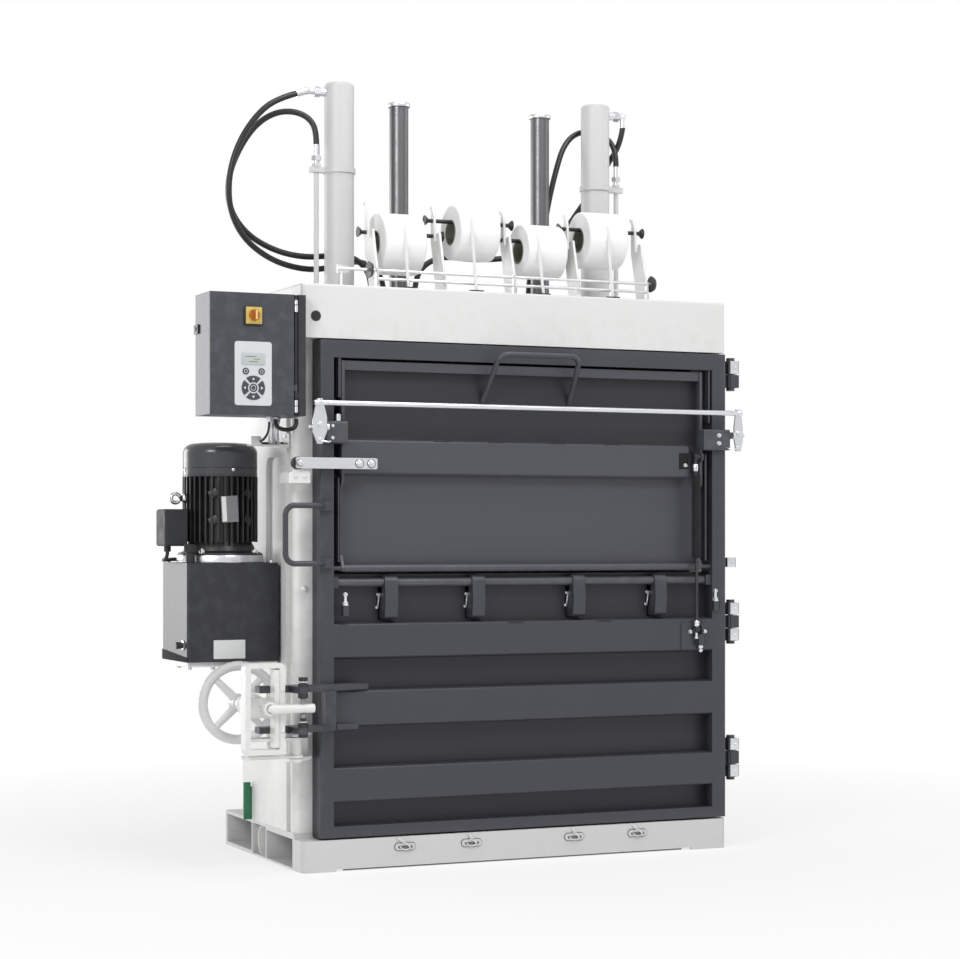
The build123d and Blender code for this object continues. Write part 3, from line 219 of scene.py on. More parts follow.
def tape_material():
    """Wound strapping tape: helical turns across the roll, with a cloth-like weave in the height."""
    material, tree, shader = new_material("wound_tape")
    where = coordinates(tree)
    turns = add_node(tree, "TexWave", {"Vector": where, "Scale": 34, "Distortion": 1.2, "Detail": 2},
                     bands_direction="X").outputs["Fac"]
    weave = noise(tree, coordinates(tree, (1, 3, 3)), 420, 3)
    soft = noise(tree, where, 14, 3)
    tone = mix_colour(tree, remap(tree, turns, 0.2, 0.9, 0, 0.07), (0.93, 0.93, 0.935), (0.78, 0.78, 0.79))
    tone = mix_colour(tree, remap(tree, soft, 0.4, 0.7, 0, 0.2), tone, (0.88, 0.88, 0.865))
    feed(tree, shader["Base Color"], tone)
    feed(tree, shader["Roughness"], remap(tree, weave, 0.3, 0.7, 0.6, 0.8))
    height = math_node(tree, "ADD", turns, math_node(tree, "MULTIPLY", weave, 0.5))
    relief = add_node(tree, "Bump", {"Strength": 0.14, "Distance": 0.001, "Height": height})
    feed(tree, shader["Normal"], relief.outputs["Normal"])
    return material


ANTHRACITE = (0.046, 0.048, 0.059)
ANTHRACITE_WORN = (0.14, 0.145, 0.16)

# The record's material slots, each with its finish
FINISHES = {
    "white_paint": paint("white_coat", (0.84, 0.84, 0.83), (0.55, 0.54, 0.52), 0.36),
    "grey_paint": paint("anthracite_coat", ANTHRACITE, ANTHRACITE_WORN, 0.4),
    "motor_paint": paint("motor_enamel", (0.012, 0.012, 0.014), (0.07, 0.07, 0.075), 0.36, 0.35),
    "zinc": metal("zinc_plate", (0.74, 0.75, 0.77), (0.56, 0.57, 0.58), 0.3),
    "steel": metal("drawn_steel", (0.17, 0.17, 0.175), (0.11, 0.11, 0.115), 0.34),
    "chrome": metal("hard_chrome", (0.85, 0.85, 0.87), (0.7, 0.7, 0.72), 0.09, 0.03),
    "hose_rubber": moulded("hose_cover", (0.012, 0.012, 0.013), 900, 0.38),
    "black_plastic": moulded("black_moulding", (0.015, 0.015, 0.017), 600, 0.42),
    "reel_tape": tape_material(),
    "green_paint": paint("green_coat", (0.02, 0.16, 0.075), (0.1, 0.25, 0.17), 0.38),
    "keypad_foil": moulded("foil", (0.66, 0.68, 0.7), 1200, 0.42, 0.1),
}
# Finishes of single solids and pieces, each under its own name
FINISHES.update((finish.name, finish) for finish in (
    moulded("yellow_moulding", (0.62, 0.45, 0.11), 700, 0.35, 0.1),
    # Painted highlight for the switch knob's grip bar.
    moulded("amber_highlight", (0.85, 0.55, 0.22), 700, 0.4, 0.1),
    moulded("orange_moulding", (0.46, 0.15, 0.02), 700, 0.3, 0.1, coat=0.3),
    # Painted highlight: a lighter copy of the anthracite coat for the claw shaft, for the light along it.
    paint("shaft_coat", (0.075, 0.077, 0.085), (0.16, 0.165, 0.18), 0.34),
    paint("head_coat", (0.75, 0.75, 0.745), (0.5, 0.49, 0.47), 0.36),
    paint("cylinder_coat", (0.63, 0.625, 0.632), (0.5, 0.5, 0.5), 0.4, 0.1),
    # Painted shade: the door's anthracite darkens in its recesses between the ribs.
    paint_with_painted_shade("door_coat", ANTHRACITE, ANTHRACITE_WORN, Front=-0.345, Deep=-0.305, Amount=0.6),
    # Painted reflection and shade: a lighter copy of the anthracite for the sheen on the flap, darkened in the
    # recesses of its top panel.
    paint_with_painted_shade("flap_coat", (0.066, 0.068, 0.081), (0.16, 0.165, 0.18), Front=-0.342, Deep=-0.312,
                   Low=1.18, High=1.245, Amount=0.7),
    # Painted shade: the control box's anthracite darkens on its front face, against its sides.
    paint_with_painted_shade("box_coat", ANTHRACITE, ANTHRACITE_WORN, Front=-0.366, Deep=-0.374, Amount=0.6),
    # Painted shade: a darker copy of the anthracite coat for the tank, whose set-back front lies in shade.
    paint("tank_coat", (0.019, 0.02, 0.026), (0.1, 0.105, 0.12), 0.4),
    # Partly painted highlight: the cowl's grey enamel, lighter than the motor's, also stands in for the highlights
    # on its gloss.
    paint("cowl_enamel", (0.05, 0.052, 0.058), (0.1, 0.105, 0.11), 0.24, 0.04, coat=0.2),
    # Painted shade: a darker copy of the white coat for the base and the handwheel, for the dimmer light low on
    # the machine.
    paint("base_coat", (0.68, 0.68, 0.68), (0.5, 0.49, 0.47), 0.36),
    moulded("matt_black", (0.006, 0.006, 0.007), 500, 0.9, 0.2),
    moulded("dull_coat", (0.02, 0.021, 0.023), 500, 0.62, 0.2),
    moulded("plate_face", (0.2, 0.2, 0.21), 900, 0.5, 0.1),
    moulded("slot_shade", (0.16, 0.16, 0.16), 700, 0.6, 0.2),
    metal("black_oxide", (0.07, 0.07, 0.072), (0.04, 0.04, 0.04), 0.38),
    moulded("display_glass", (0.5, 0.54, 0.52), 1500, 0.15, 0.02, coat=0.5),
    moulded("dark_key", (0.05, 0.055, 0.065), 900, 0.4, 0.1),
    moulded("light_key", (0.5, 0.52, 0.55), 900, 0.45, 0.1),
    metal("bare_plate", (0.8, 0.8, 0.8), (0.68, 0.68, 0.68), 0.38),
    # Painted shade: a darker copy of the rolls' tape for the strands, offsetting the stronger light on their flat
    # faces.
    moulded("flat_tape", (0.72, 0.72, 0.73), 1500, 0.65),
    moulded("core_card", (0.26, 0.26, 0.21), 500, 0.8),
    moulded("pale_label_stock", (0.75, 0.76, 0.76), 900, 0.5, 0.1)))

# Solids whose finish differs from their slot's
OWN_FINISH = {
    "left_cylinder": "cylinder_coat", "right_cylinder": "cylinder_coat", "hydraulic_pipes": "cylinder_coat",
    "oil_tank": "tank_coat", "base_frame": "base_coat", "handwheel": "base_coat", "press_head": "head_coat",
    "claw_shaft": "shaft_coat", "control_box": "box_coat", "terminal_box": "dull_coat",
    "motor_cowl": "cowl_enamel", "door_bolts": "black_oxide", "gas_spring_rod": "black_oxide",
    "tank_fittings": "black_plastic", "main_switch_knob": "orange_moulding", "door_frame": "door_coat",
    "loading_flap": "flap_coat"}

for entry in frame["record"]["subparts"]:
    node = frame["nodes"][entry["node"]]
    node_finish = FINISHES[OWN_FINISH.get(entry["node"], entry["material_slot"])]
    if not node.material_slots:
        node.data.materials.append(node_finish)
    for node_slot in node.material_slots:
        node_slot.material = node_finish


# Forms in mm that are added to a bmesh, and pieces made of them

def polygon(count, radius, turn=0):
    return [(radius * cos(turn + 2 * pi * i / count), radius * sin(turn + 2 * pi * i / count))
            for i in range(count)]


def oblong(width, height):
    return [(-width / 2, -height / 2), (width / 2, -height / 2), (width / 2, height / 2), (-width / 2, height / 2)]


def rounded(width, height, radius):
    """A rectangle with round corners, about its centre."""
    steps = 5
    points = []
    for corner, (sx, sy) in enumerate(((1, 1), (-1, 1), (-1, -1), (1, -1))):
        for i in range(steps + 1):
            angle = pi / 2 * (corner + i / steps)
            points.append((sx * (width / 2 - radius) + radius * cos(angle),
                           sy * (height / 2 - radius) + radius * sin(angle)))
    return points


def turn_from_z(axis):
    """The turn that carries +Z onto an axis."""
    return Vector(UP).rotation_difference(Vector(axis)).to_matrix().to_4x4()


def at(x, y, z, axis=UP, spin=0):
    """A matrix that stands a local form on a point, its +Z along an axis."""
    return Matrix.Translation(Vector((x, y, z)) * MM) @ turn_from_z(axis) @ Matrix.Rotation(radians(spin), 4, "Z")


def front(x, y, z):
    """A matrix with local X along +X, local Y along +Z and local Z towards the front."""
    turn = Matrix(((1, 0, 0, 0), (0, 0, -1, 0), (0, 1, 0, 0), (0, 0, 0, 1)))
    return Matrix.Translation(Vector((x, y, z)) * MM) @ turn


def add_ring(shape, place, radius, height, sides):
    """A ring of points about the local Z axis, or one point on it where the radius is 0."""
    spots = polygon(sides, radius * MM) if radius else [(0, 0)]
    return [shape.verts.new(place @ Vector((x, y, height * MM))) for x, y in spots]


def add_skin(shape, rings, closed=False):
    """Joins each ring of points to the next, and the last one to the first where it is closed."""
    for low, high in zip(rings, rings[1:] + rings[:1] if closed else rings[1:]):
        for i in range(max(len(low), len(high))):
            corners = [low[i % len(low)], low[(i + 1) % len(low)], high[(i + 1) % len(high)], high[i % len(high)]]
            shape.faces.new(list(dict.fromkeys(corners)))


def turned(shape, profile, place, sides=32):
    """A turned form: (radius, height) points about the local Z axis, closed at both ends."""
    rings = [add_ring(shape, place, radius, height, sides) for radius, height in profile]
    add_skin(shape, rings)
    for ring in (rings[0], rings[-1]):
        if len(ring) > 2:
            shape.faces.new(ring)


def closed_turned(shape, profile, place, sides):
    """A turned form whose outline closes on itself, with an open bore."""
    add_skin(shape, [add_ring(shape, place, radius, height, sides) for radius, height in profile], True)


def tube(radius, half_width, half_depth, count):
    """The oval section of a bar that is bent to a ring."""
    angles = [2 * pi * i / count for i in range(count)]
    return [(radius + half_width * cos(angle), half_depth * sin(angle)) for angle in angles]


def plate(shape, outline, low, high, place, chamfer=0):
    """A flat plate: an outline in local X and Y, from one height to another, edges broken."""
    flat = bmesh.new()
    face = flat.faces.new([flat.verts.new((x * MM, y * MM, low * MM)) for x, y in outline])
    raised = bmesh.ops.extrude_face_region(flat, geom=[face])
    moved = [item for item in raised["geom"] if isinstance(item, bmesh.types.BMVert)]
    bmesh.ops.translate(flat, verts=moved, vec=(0, 0, (high - low) * MM))
    if chamfer:
        bmesh.ops.bevel(flat, geom=flat.edges[:], offset=chamfer * MM, segments=2, affect="EDGES", profile=0.6)
    bmesh.ops.transform(flat, matrix=place, verts=flat.verts)
    mesh = bpy.data.meshes.new("part_of_piece")
    flat.to_mesh(mesh)
    flat.free()
    shape.from_mesh(mesh)
    bpy.data.meshes.remove(mesh)


def band(shape, outer, inner, low, high, place):
    """A flat band between two outlines of as many points."""
    for i in range(len(outer)):
        j = (i + 1) % len(outer)
        plate(shape, [outer[i], outer[j], inner[j], inner[i]], low, high, place)


def bolt(shape, place, across, washer=True, stud=0):
    """A hexagon head with its chamfer, its washer, and a stud end with thread rings past it."""
    base = across * 0.12 if washer else 0
    if washer:
        turned(shape, [(0, -0.5), (across * 0.62, -0.5), (across * 0.62, base * 0.8), (across * 0.59, base),
                       (0, base)], place, 28)
    top = base + across * 0.5
    plate(shape, polygon(6, across / 2 / cos(pi / 6)), base - 0.4, top, place, across * 0.05)
    turned(shape, [(0, top - 0.5), (across * 0.42, top - 0.5), (across * 0.37, top + across * 0.035),
                   (0, top + across * 0.035)], place, 24)
    if stud:
        radius, pitch = across * 0.29, across * 0.1
        profile = [(0, top - 1), (radius, top - 1)]
        for i in range(int(stud / pitch)):
            profile += [(radius, top + pitch * i), (radius * 0.88, top + pitch * (i + 0.5))]
        turned(shape, profile + [(radius * 0.85, top + stud), (0, top + stud)], place, 20)


def smooth_up_to(mesh, angle):
    mesh.shade_smooth()
    mesh.set_sharp_from_angle(angle=radians(angle))


def add_object(name, data):
    holder = bpy.data.objects.new(name, data)
    bpy.context.scene.collection.objects.link(holder)
    return holder


def dress(name, data, finish, body):
    """Links a piece with its finish, in its one material slot, and its body."""
    piece = add_object(name, data)
    data.materials.append(FINISHES[finish])
    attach(piece, body)
    return piece


def make(name, forms, finish="zinc", body="frame", angle=30):
    """One piece made of forms, each a function with its values, that shades smooth up to an angle."""
    shape = bmesh.new()
    for form, *values in forms:
        form(shape, *values)
    bmesh.ops.recalc_face_normals(shape, faces=shape.faces)
    mesh = bpy.data.meshes.new(name)
    shape.to_mesh(mesh)
    shape.free()
    smooth_up_to(mesh, angle)
    return dress(name, mesh, finish, body)


def bolt_set(name, spots, axis, across, body="frame", finish="zinc", washer=True, stud=0):
    """One piece that holds a row of like bolts, all facing the same way."""
    make(name, [(bolt, at(*spot, axis, 17 * number), across, washer, stud)
                for number, spot in enumerate(spots)], finish, body, angle=35)


def round_line(name, points, radius, resolution, steps, capped):
    """A round bar along one smooth curve, in metres."""
    line = bpy.data.curves.new(name + "_line", "CURVE")
    line.dimensions = "3D"
    line.bevel_depth = radius
    line.bevel_resolution = resolution
    line.resolution_u = steps
    line.use_fill_caps = capped
    spline = line.splines.new("NURBS")
    spline.points.add(len(points) - 1)
    for point, place in zip(spline.points, points):
        point.co = (*place, 1)
    spline.order_u = 3
    spline.use_endpoint_u = True
    return line


def bent_rod(name, points, radius, body, resolution=2, finish="zinc"):
    """A plated rod or pipe bent along points in mm, as a mesh."""
    line = round_line(name, [Vector(point) * MM for point in points], radius * MM, resolution, 8, True)
    holder = bpy.data.objects.new(name + "_line", line)
    mesh = bpy.data.meshes.new_from_object(holder)
    mesh.name = name
    bpy.data.objects.remove(holder)
    bpy.data.curves.remove(line)
    smooth_up_to(mesh, 45)
    dress(name, mesh, finish, body)


def coil_spring(name, start, end, radius, wire, turns, body):
    """A coil spring between two points in mm."""
    first, last = Vector(start), Vector(end)
    turn = turn_from_z(last - first)
    steps = turns * 10
    points = []
    for i in range(steps + 1):
        angle = 2 * pi * i / 10
        points.append(first + turn @ Vector((radius * cos(angle), radius * sin(angle),
                                             (last - first).length * i / steps)))
    bent_rod(name, points, wire, body)


def add_cord(name, points, diameter, replaced=None):
    """A black hose or cable along points in metres; a hose replaces its solid."""
    line = round_line(name, points, diameter / 2, 5 if replaced else 4, 12, not replaced)
    cord = dress(name, line, "hose_rubber", "frame")
    if replaced:
        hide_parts(replaced)


# Camera, lamps and floor

def aim(holder, place, direction):
    """Stands a camera or lamp at a place, looking along a direction."""
    turn = Vector(direction).to_track_quat("-Z", "Y")
    holder.matrix_world = Matrix.Translation(place) @ turn.to_matrix().to_4x4()


def add_camera():
    """The photograph's view: level, from the front and a little to the left."""
    camera = bpy.data.cameras.new("camera")
    camera.lens = 86.1
    camera.sensor_width = 36
    camera.shift_y = 0.064
    camera.clip_end = 60
    holder = add_object("camera", camera)
    aim(holder, (-2.8737, -6.4756, 0.94), (0.4079, 0.913, 0))
    bpy.context.scene.camera = holder


def add_lamp(name, place, size, power, target=(0, 0, 1)):
    lamp = bpy.data.lights.new(name, "AREA")
    lamp.shape = "RECTANGLE"
    lamp.size, lamp.size_y = size
    lamp.energy = power
    holder = add_object(name, lamp)
    holder.visible_camera = False
    aim(holder, place, Vector(target) - Vector(place))


def add_surround():
    """A dim world that the camera, gloss and glass see as white."""
    world = bpy.data.worlds.new("surround")
    bpy.context.scene.world = world
    world.use_nodes = True
    tree = world.node_tree
    background = tree.nodes["Background"].inputs
    path = add_node(tree, "LightPath", {}).outputs
    seen = math_node(tree, "MAXIMUM", path["Is Camera Ray"],
                     math_node(tree, "MULTIPLY", path["Is Glossy Ray"], 0.75))
    seen = math_node(tree, "MAXIMUM", seen, path["Is Transmission Ray"])
    feed(tree, background["Color"], (1, 1, 1))
    feed(tree, background["Strength"], remap(tree, seen, 0, 1, 0.16, 1))


def add_floor():
    """A pale floor that turns white away from the machine."""
    shape = bmesh.new()
    bmesh.ops.create_grid(shape, x_segments=12, y_segments=12, size=14)
    mesh = bpy.data.meshes.new("floor")
    shape.to_mesh(mesh)
    shape.free()
    floor = add_object("floor", mesh)
    material, tree, shader = new_material("pale_floor")
    shader["Roughness"].default_value = 0.75
    speckle = remap(tree, noise(tree, coordinates(tree), 60), 0.3, 0.7, 0, 1)
    feed(tree, shader["Base Color"], mix_colour(tree, speckle, (0.93, 0.93, 0.93), (0.96, 0.96, 0.96)))
    where = add_node(tree, "NewGeometry", {}).outputs["Position"]
    away = add_node(tree, "VectorMath", {0: where}, operation="LENGTH").outputs["Value"]
    blend = add_node(tree, "MixShader", {0: remap(tree, away, 1, 3, 0.7, 1),
                                         1: tree.nodes["Principled BSDF"].outputs[0],
                                         2: add_node(tree, "Emission", {}).outputs[0]})
    feed(tree, tree.nodes["Material Output"].inputs["Surface"], blend.outputs[0])
    mesh.materials.append(material)


add_camera()
add_surround()
add_lamp("lamp_left", (-4.6, -3.6, 3.4), (2, 2), 105)
add_lamp("lamp_front", (0.8, -4.6, 5.4), (2.6, 1.6), 120)
add_lamp("lamp_top", (0, -1.4, 5.4), (3, 2), 80)
add_lamp("lamp_right", (5, -0.8, 2.5), (2.5, 3), 35)
add_lamp("lamp_behind", (-3.6, 5.2, 1.6), (3, 3.2), 120, (-0.7, 0, 1))
add_floor()
bpy.context.scene.view_settings.view_transform = "Standard"


# Hydraulic hoses, on the same points as their routes in the frame

def add_hose(name, points):
    add_cord("rubber_" + name, points, 0.018, name)


add_hose("hose_left_outer", [
    (-0.571, 0.03, 2.2804), (-0.6402, 0.03, 2.2578), (-0.704, 0.036, 2.196), (-0.752, 0.044, 2.112),
    (-0.776, 0.052, 2.016), (-0.768, 0.062, 1.92), (-0.718, 0.076, 1.84), (-0.632, 0.094, 1.788),
    (-0.538, 0.12, 1.768), (-0.45, 0.142, 1.77), (-0.374, 0.156, 1.796), (-0.314, 0.16, 1.806),
    (-0.26, 0.16, 1.782), (-0.236, 0.16, 1.734), (-0.236, 0.16, 1.684)])
add_hose("hose_left_inner", [
    (-0.5065, 0.03, 2.132), (-0.5065, 0.03, 2.176), (-0.528, 0.038, 2.214), (-0.572, 0.052, 2.232),
    (-0.626, 0.066, 2.226), (-0.682, 0.078, 2.188), (-0.732, 0.084, 2.114), (-0.766, 0.088, 2.024),
    (-0.76, 0.096, 1.934), (-0.702, 0.106, 1.86), (-0.608, 0.114, 1.816), (-0.512, 0.118, 1.802),
    (-0.43, 0.122, 1.812), (-0.37, 0.124, 1.818), (-0.316, 0.124, 1.79), (-0.292, 0.124, 1.74),
    (-0.292, 0.124, 1.684)])
add_hose("hose_right", [
    (0.5075, 0.03, 2.132), (0.5075, 0.03, 2.18), (0.492, 0.058, 2.228), (0.448, 0.09, 2.252),
    (0.392, 0.098, 2.24), (0.35, 0.092, 2.194), (0.322, 0.084, 2.12), (0.296, 0.08, 2.028),
    (0.28, 0.084, 1.936), (0.266, 0.106, 1.85), (0.25, 0.14, 1.776), (0.25, 0.14, 1.684)])
add_hose("hose_centre", [
    (0.531, 0.03, 2.257), (0.526, 0.036, 2.206), (0.498, 0.08, 2.14), (0.466, 0.106, 2.068),
    (0.424, 0.12, 2.006), (0.374, 0.122, 1.936), (0.308, 0.122, 1.88), (0.224, 0.122, 1.846),
    (0.13, 0.122, 1.828), (0.03, 0.122, 1.824), (-0.048, 0.124, 1.83), (-0.108, 0.134, 1.806),
    (-0.142, 0.14, 1.754), (-0.142, 0.14, 1.684)])


# Strapping tape: rolls, strands down to the inlets

REEL_Y = -200
ROLLS = ((1, -342, 1812.5, 90), (2, -101.5, 1857.5, 82), (3, 120.5, 1812.5, 82), (4, 323.5, 1857.5, 86))
STRAND_X = (-347.5, -132.5, 85.5, 317.5)
HALF_ROLL = 65.5
CORE_R = 38


def roll_outline(radius):
    """A wound roll, slightly crowned: soft edges, stepped side faces and an open core."""
    side = [(CORE_R - 4, 0), (CORE_R, 0), (CORE_R + 0.2, 0.8)]
    steps = 9
    for i in range(1, steps):
        side.append((CORE_R + (radius - 6 - CORE_R) * i / steps, 0.8 + 0.9 * (i % 2)))
    side += [(radius - 5, 0.8), (radius - 1.6, 3), (radius - 0.3, 8), (radius, 20)]
    low = [(r, height - HALF_ROLL) for r, height in side]
    return low + [(radius, 0)] + [(r, -height) for r, height in reversed(low)]


def add_roll(number, x, z, radius):
    """The tape on its card core, with the black discs that hold the core."""
    body = f"reel_{number}"
    roll = make(f"tape_roll_{number}", [
        (closed_turned, roll_outline(radius), at(x, REEL_Y, z, RIGHT), 72)], "reel_tape", body, angle=50)
    roll.data.materials.append(FINISHES["core_card"])
    for face in roll.data.polygons:
        middle = face.center - Vector((x, REEL_Y, z)) * MM
        if middle.yz.length < (CORE_R + 0.5) * MM:
            face.material_index = 1
    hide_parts(f"tape_reel_{number}")
    disc = [(9, 1), (CORE_R - 3.6, 1), (CORE_R - 3.6, 5), (CORE_R - 9, 6.5), (16, 6.5), (14, 12), (9, 12), (9, 1)]
    make(f"core_discs_{number}", [
        (turned, disc, at(x + end * (HALF_ROLL - 40), REEL_Y, z, (end, 0, 0)), 40)
        for end in (-1, 1)], "black_plastic", body, angle=35)


def tape_strand(shape, x, z, radius):
    """One tape, from the front of its roll down past both rods into its inlet."""
    centre = Vector((REEL_Y, z))
    last = Vector((-304.6, 1722))
    reach = last - centre
    turn = atan2(reach.y, reach.x) - acos((radius + 0.6) / reach.length)
    on_roll = [turn - i * radians(6) for i in (3, 2, 1, 0)]
    path = [centre + Vector((cos(angle), sin(angle))) * (radius + 0.7) for angle in on_roll]
    path += [last, *map(Vector, ((-309.4, 1697), (-314.5, 1684), (-315.6, 1673)))]
    rows = []
    for i, point in enumerate(path):
        before, after = path[max(i - 1, 0)], path[min(i + 1, len(path) - 1)]
        along = (after - before).normalized()
        out = Vector((-along.y, along.x)) * (0.35 if along.y < 0 else -0.35)
        rows.append([shape.verts.new(Vector((x + side * 4.8, *(point + out * face))) * MM)
                     for side, face in ((-1, -1), (1, -1), (1, 1), (-1, 1))])
    add_skin(shape, rows)
    shape.faces.new(rows[0])
    shape.faces.new(rows[-1])


for roll_values in ROLLS:
    add_roll(*roll_values)
for strand_x, (roll_number, _, roll_z, roll_radius) in zip(STRAND_X, ROLLS):
    make(f"strand_{roll_number}", [(tape_strand, strand_x, roll_z, roll_radius)], "flat_tape", "frame",
         60)


# Control box: switch plate, keypad face, hinge sleeves, latch and the cables below it

PAD_Z = 1366
BUTTONS = ((-22, 1412), (24, 1412))
SWITCH_X, SWITCH_Z = -842.5, 1567.5
BOX_FACE_Y = -383


def on_foil(x, z, depth=0):
    """A place on the keypad's foil, counted across from its middle line."""
    return front(-843.5 + x, -385.6 - depth, z)


def key_outline(middle_angle):
    """One arrow key: a quarter of a ring with slanted ends."""
    inner, outer, spread, steps = 15.5, 34, 38, 8
    angles = [radians(middle_angle - spread + 2 * spread * i / steps) for i in range(steps + 1)]
    return ([(outer * cos(a), outer * sin(a)) for a in angles]
            + [(inner * cos(a), inner * sin(a)) for a in reversed(angles)])


def arrow_outline(turn, reach=24.5):
    return [(x + reach * cos(turn), y + reach * sin(turn)) for x, y in polygon(3, 4.6, turn)]


def add_keypad_face():
    """A display with generic lines, four arrow keys, a middle key and two buttons."""
    body, slot = "box_door", "keypad_foil"
    make("display_frame", [(plate, rounded(69, 33, 3), 0, 0.5, on_foil(0, 1446), 0.1)], "light_key", body)
    make("display_glass", [
        (plate, rounded(64, 28, 2), 0, 0.4, on_foil(0, 1446, 0.4), 0.1)], "display_glass", body)
    make("display_bars", [
        (plate, oblong(width, 1.4), 0.75, 0.95, on_foil(x, z))
        for width, x, z in ((34, -8, 1453), (20, 10, 1446), (26, 0, 1439))], "dark_key", body, 40)
    make("pad_keys", [
        (plate, key_outline(turn), -0.3, 0.6, on_foil(0, PAD_Z), 0.15) for turn in (0, 90, 180, 270)]
        + [(plate, polygon(28, 9.5), -0.3, 0.6, on_foil(*button), 0.15) for button in BUTTONS]
        + [(plate, polygon(32, 12), -0.3, 0.7, on_foil(0, PAD_Z), 0.2)], "dark_key", body)
    make("pad_marks", [
        (plate, arrow_outline(pi / 2 * turn), 0.5, 0.75, on_foil(0, PAD_Z)) for turn in range(4)]
        + [(band, polygon(24, radius), polygon(24, radius - 1.4), 0.6, 0.85, on_foil(x, z))
          for (x, z), radius in zip((*BUTTONS, (0, PAD_Z)), (5.2, 5.2, 7.5))], "pale_label_stock", body, 40)


def add_switch_plate():
    on_plate = front(SWITCH_X, BOX_FACE_Y, SWITCH_Z)
    make("switch_frame", [
        (plate, rounded(54, 54, 3), 0, 5, front(SWITCH_X - 1, BOX_FACE_Y, SWITCH_Z - 1), 0.6)],
         "black_plastic", "box_door")
    make("switch_plate", [
        (plate, rounded(47, 47, 2.5), 4.6, 6.4, on_plate, 0.4),
        (turned, [(14.9, 6.2), (21, 6.2), (21, 7.4), (20, 8.2), (16.4, 8.2), (15.6, 7.4), (14.9, 6.2)],
         on_plate, 40)], "yellow_moulding", "box_door")
    # Painted highlight: a pale amber strip on the knob's grip bar, for the light on the bar.
    make("grip_highlight", [
        (plate, rounded(5.4, 26, 2.6), 0, 0.6, front(SWITCH_X, -412.2, SWITCH_Z), 0.2)],
         "amber_highlight", "switch")


def hinge_sleeve(shape, low, high):
    """A bright sleeve on the box's hinge line."""
    length = high - low
    turned(shape, [(4.05, 0), (5, 0), (5.4, 0.6), (5.4, length - 0.6), (5, length), (4.05, length), (4.05, 0)],
           at(-716, -380, low), 28)


def cable_gland(shape, x, y, radius, length):
    turned(shape, [(0, -0.5), (radius, -0.5), (radius, 4), (radius * 0.8, 5), (radius * 0.8, length - 3),
                   (radius * 0.62, length), (0, length)], at(x, y, 1291, DOWN), 8)


def add_box_fittings():
    """Hinge sleeves, the latch on the side, and glands, shelf and conduits under the box."""
    make("box_hinge_sleeves", [(hinge_sleeve, 1582.5, 1601), (hinge_sleeve, 1300, 1317)])
    make("box_door_sleeves", [(hinge_sleeve, 1603.5, 1615), (hinge_sleeve, 1319, 1335)], body="box_door")
    on_side = at(-968, -264, 1534, LEFT)
    make("side_latch", [
        (plate, rounded(26, 38, 3), -1, 5, on_side, 0.8),
        (turned, [(0, 4.5), (6, 4.5), (6, 6), (5, 7), (0, 7)], on_side, 24)], "black_plastic")
    make("cable_glands", [
        (cable_gland, -748, -262, 12, 16), (cable_gland, -728, -250, 12, 16), (cable_gland, -768, -300, 9, 14),
        (cable_gland, -742, -285, 9, 8)])
    make("cable_shelf", [
        (plate, rounded(112, 66, 8), 0, 3, at(-744, -222, 1212), 0.6),
        (plate, oblong(40, 60), 0, 3, at(-689.5, -222, 1228, LEFT), 0.6),
        (plate, oblong(30, 26), 0, 3, at(-792, -254, 1225, FRONT), 0.6)], "white_paint")
    bolt_set("shelf_bolts", ((-776, -236, 1215), (-716, -236, 1215), (-692.5, -222, 1238)), UP, 10)
    bent_rod("zinc_conduit_1", ((-748, -262, 1278), (-750, -260, 1250), (-745, -250, 1230), (-742, -240, 1215)), 8,
             "frame", 12)
    bent_rod("zinc_conduit_2", ((-728, -250, 1278), (-731, -248, 1256), (-726, -240, 1232), (-722, -232, 1215)), 8,
             "frame", 12)


add_keypad_face()
add_switch_plate()
add_box_fittings()
add_cord("cable_to_column", [(-0.742, -0.285, 1.291), (-0.748, -0.286, 1.272), (-0.73, -0.288, 1.257),
                             (-0.7, -0.287, 1.256), (-0.679, -0.282, 1.268), (-0.68, -0.278, 1.288)],
         0.012)
add_cord("cable_to_motor", [(-0.768, -0.3, 1.279), (-0.768, -0.3, 1.254), (-0.776, -0.286, 1.23),
                            (-0.782, -0.25, 1.221), (-0.762, -0.212, 1.22), (-0.725, -0.2, 1.221),
                            (-0.691, -0.198, 1.222)],
         0.007)


# Door and flap hardware

GAS_SPRING = (577.5, -366)
ARM_Y, ARM_Z = -388, 1159.5
HINGE_SPANS = ((1454.5, 1495), (713, 750), (632, 670), (295, 332), (213, 251))
HINGE_DOOR_SPANS = ((1412, 1452.5), (672, 711), (253, 293))


def add_stop_bolt(name, x, y=-352):
    """A stop of the flap: a stud on a dark lug, with its nut and cap."""
    make(name + "_lug", [(plate, rounded(24, 18, 3), 0, 30, at(x, y, 727), 0.8)], "grey_paint", "door")
    make(name + "_bolt", [
        (bolt, at(x, y, 756.5), 17),
        (turned, [(0, 0), (5, 0), (5, 22), (0, 22)], at(x, y, 764), 20),
        (bolt, at(x, y, 784), 15, False, 2)], body="door", angle=35)


def add_claw_spring(number, x):
    """Beside a claw: an eye screw in the panel and a tension spring hanging from it."""
    in_panel = at(x, -300, 785, FRONT)
    make(f"spring_screw_{number}", [
        (bolt, in_panel, 9),
        (turned, [(0, 4), (3, 4), (3, 11), (4.4, 12), (4.4, 14), (0, 14)], in_panel, 20)], body="door", angle=35)
    coil_spring(f"claw_spring_{number}", (x - 1, -309, 781), (x - 4, -307, 752), 3.2, 0.7, 13, "door")
    bolt_set(f"spring_anchor_{number}", ((x - 4, -300, 748),), FRONT, 8, "door", stud=3)


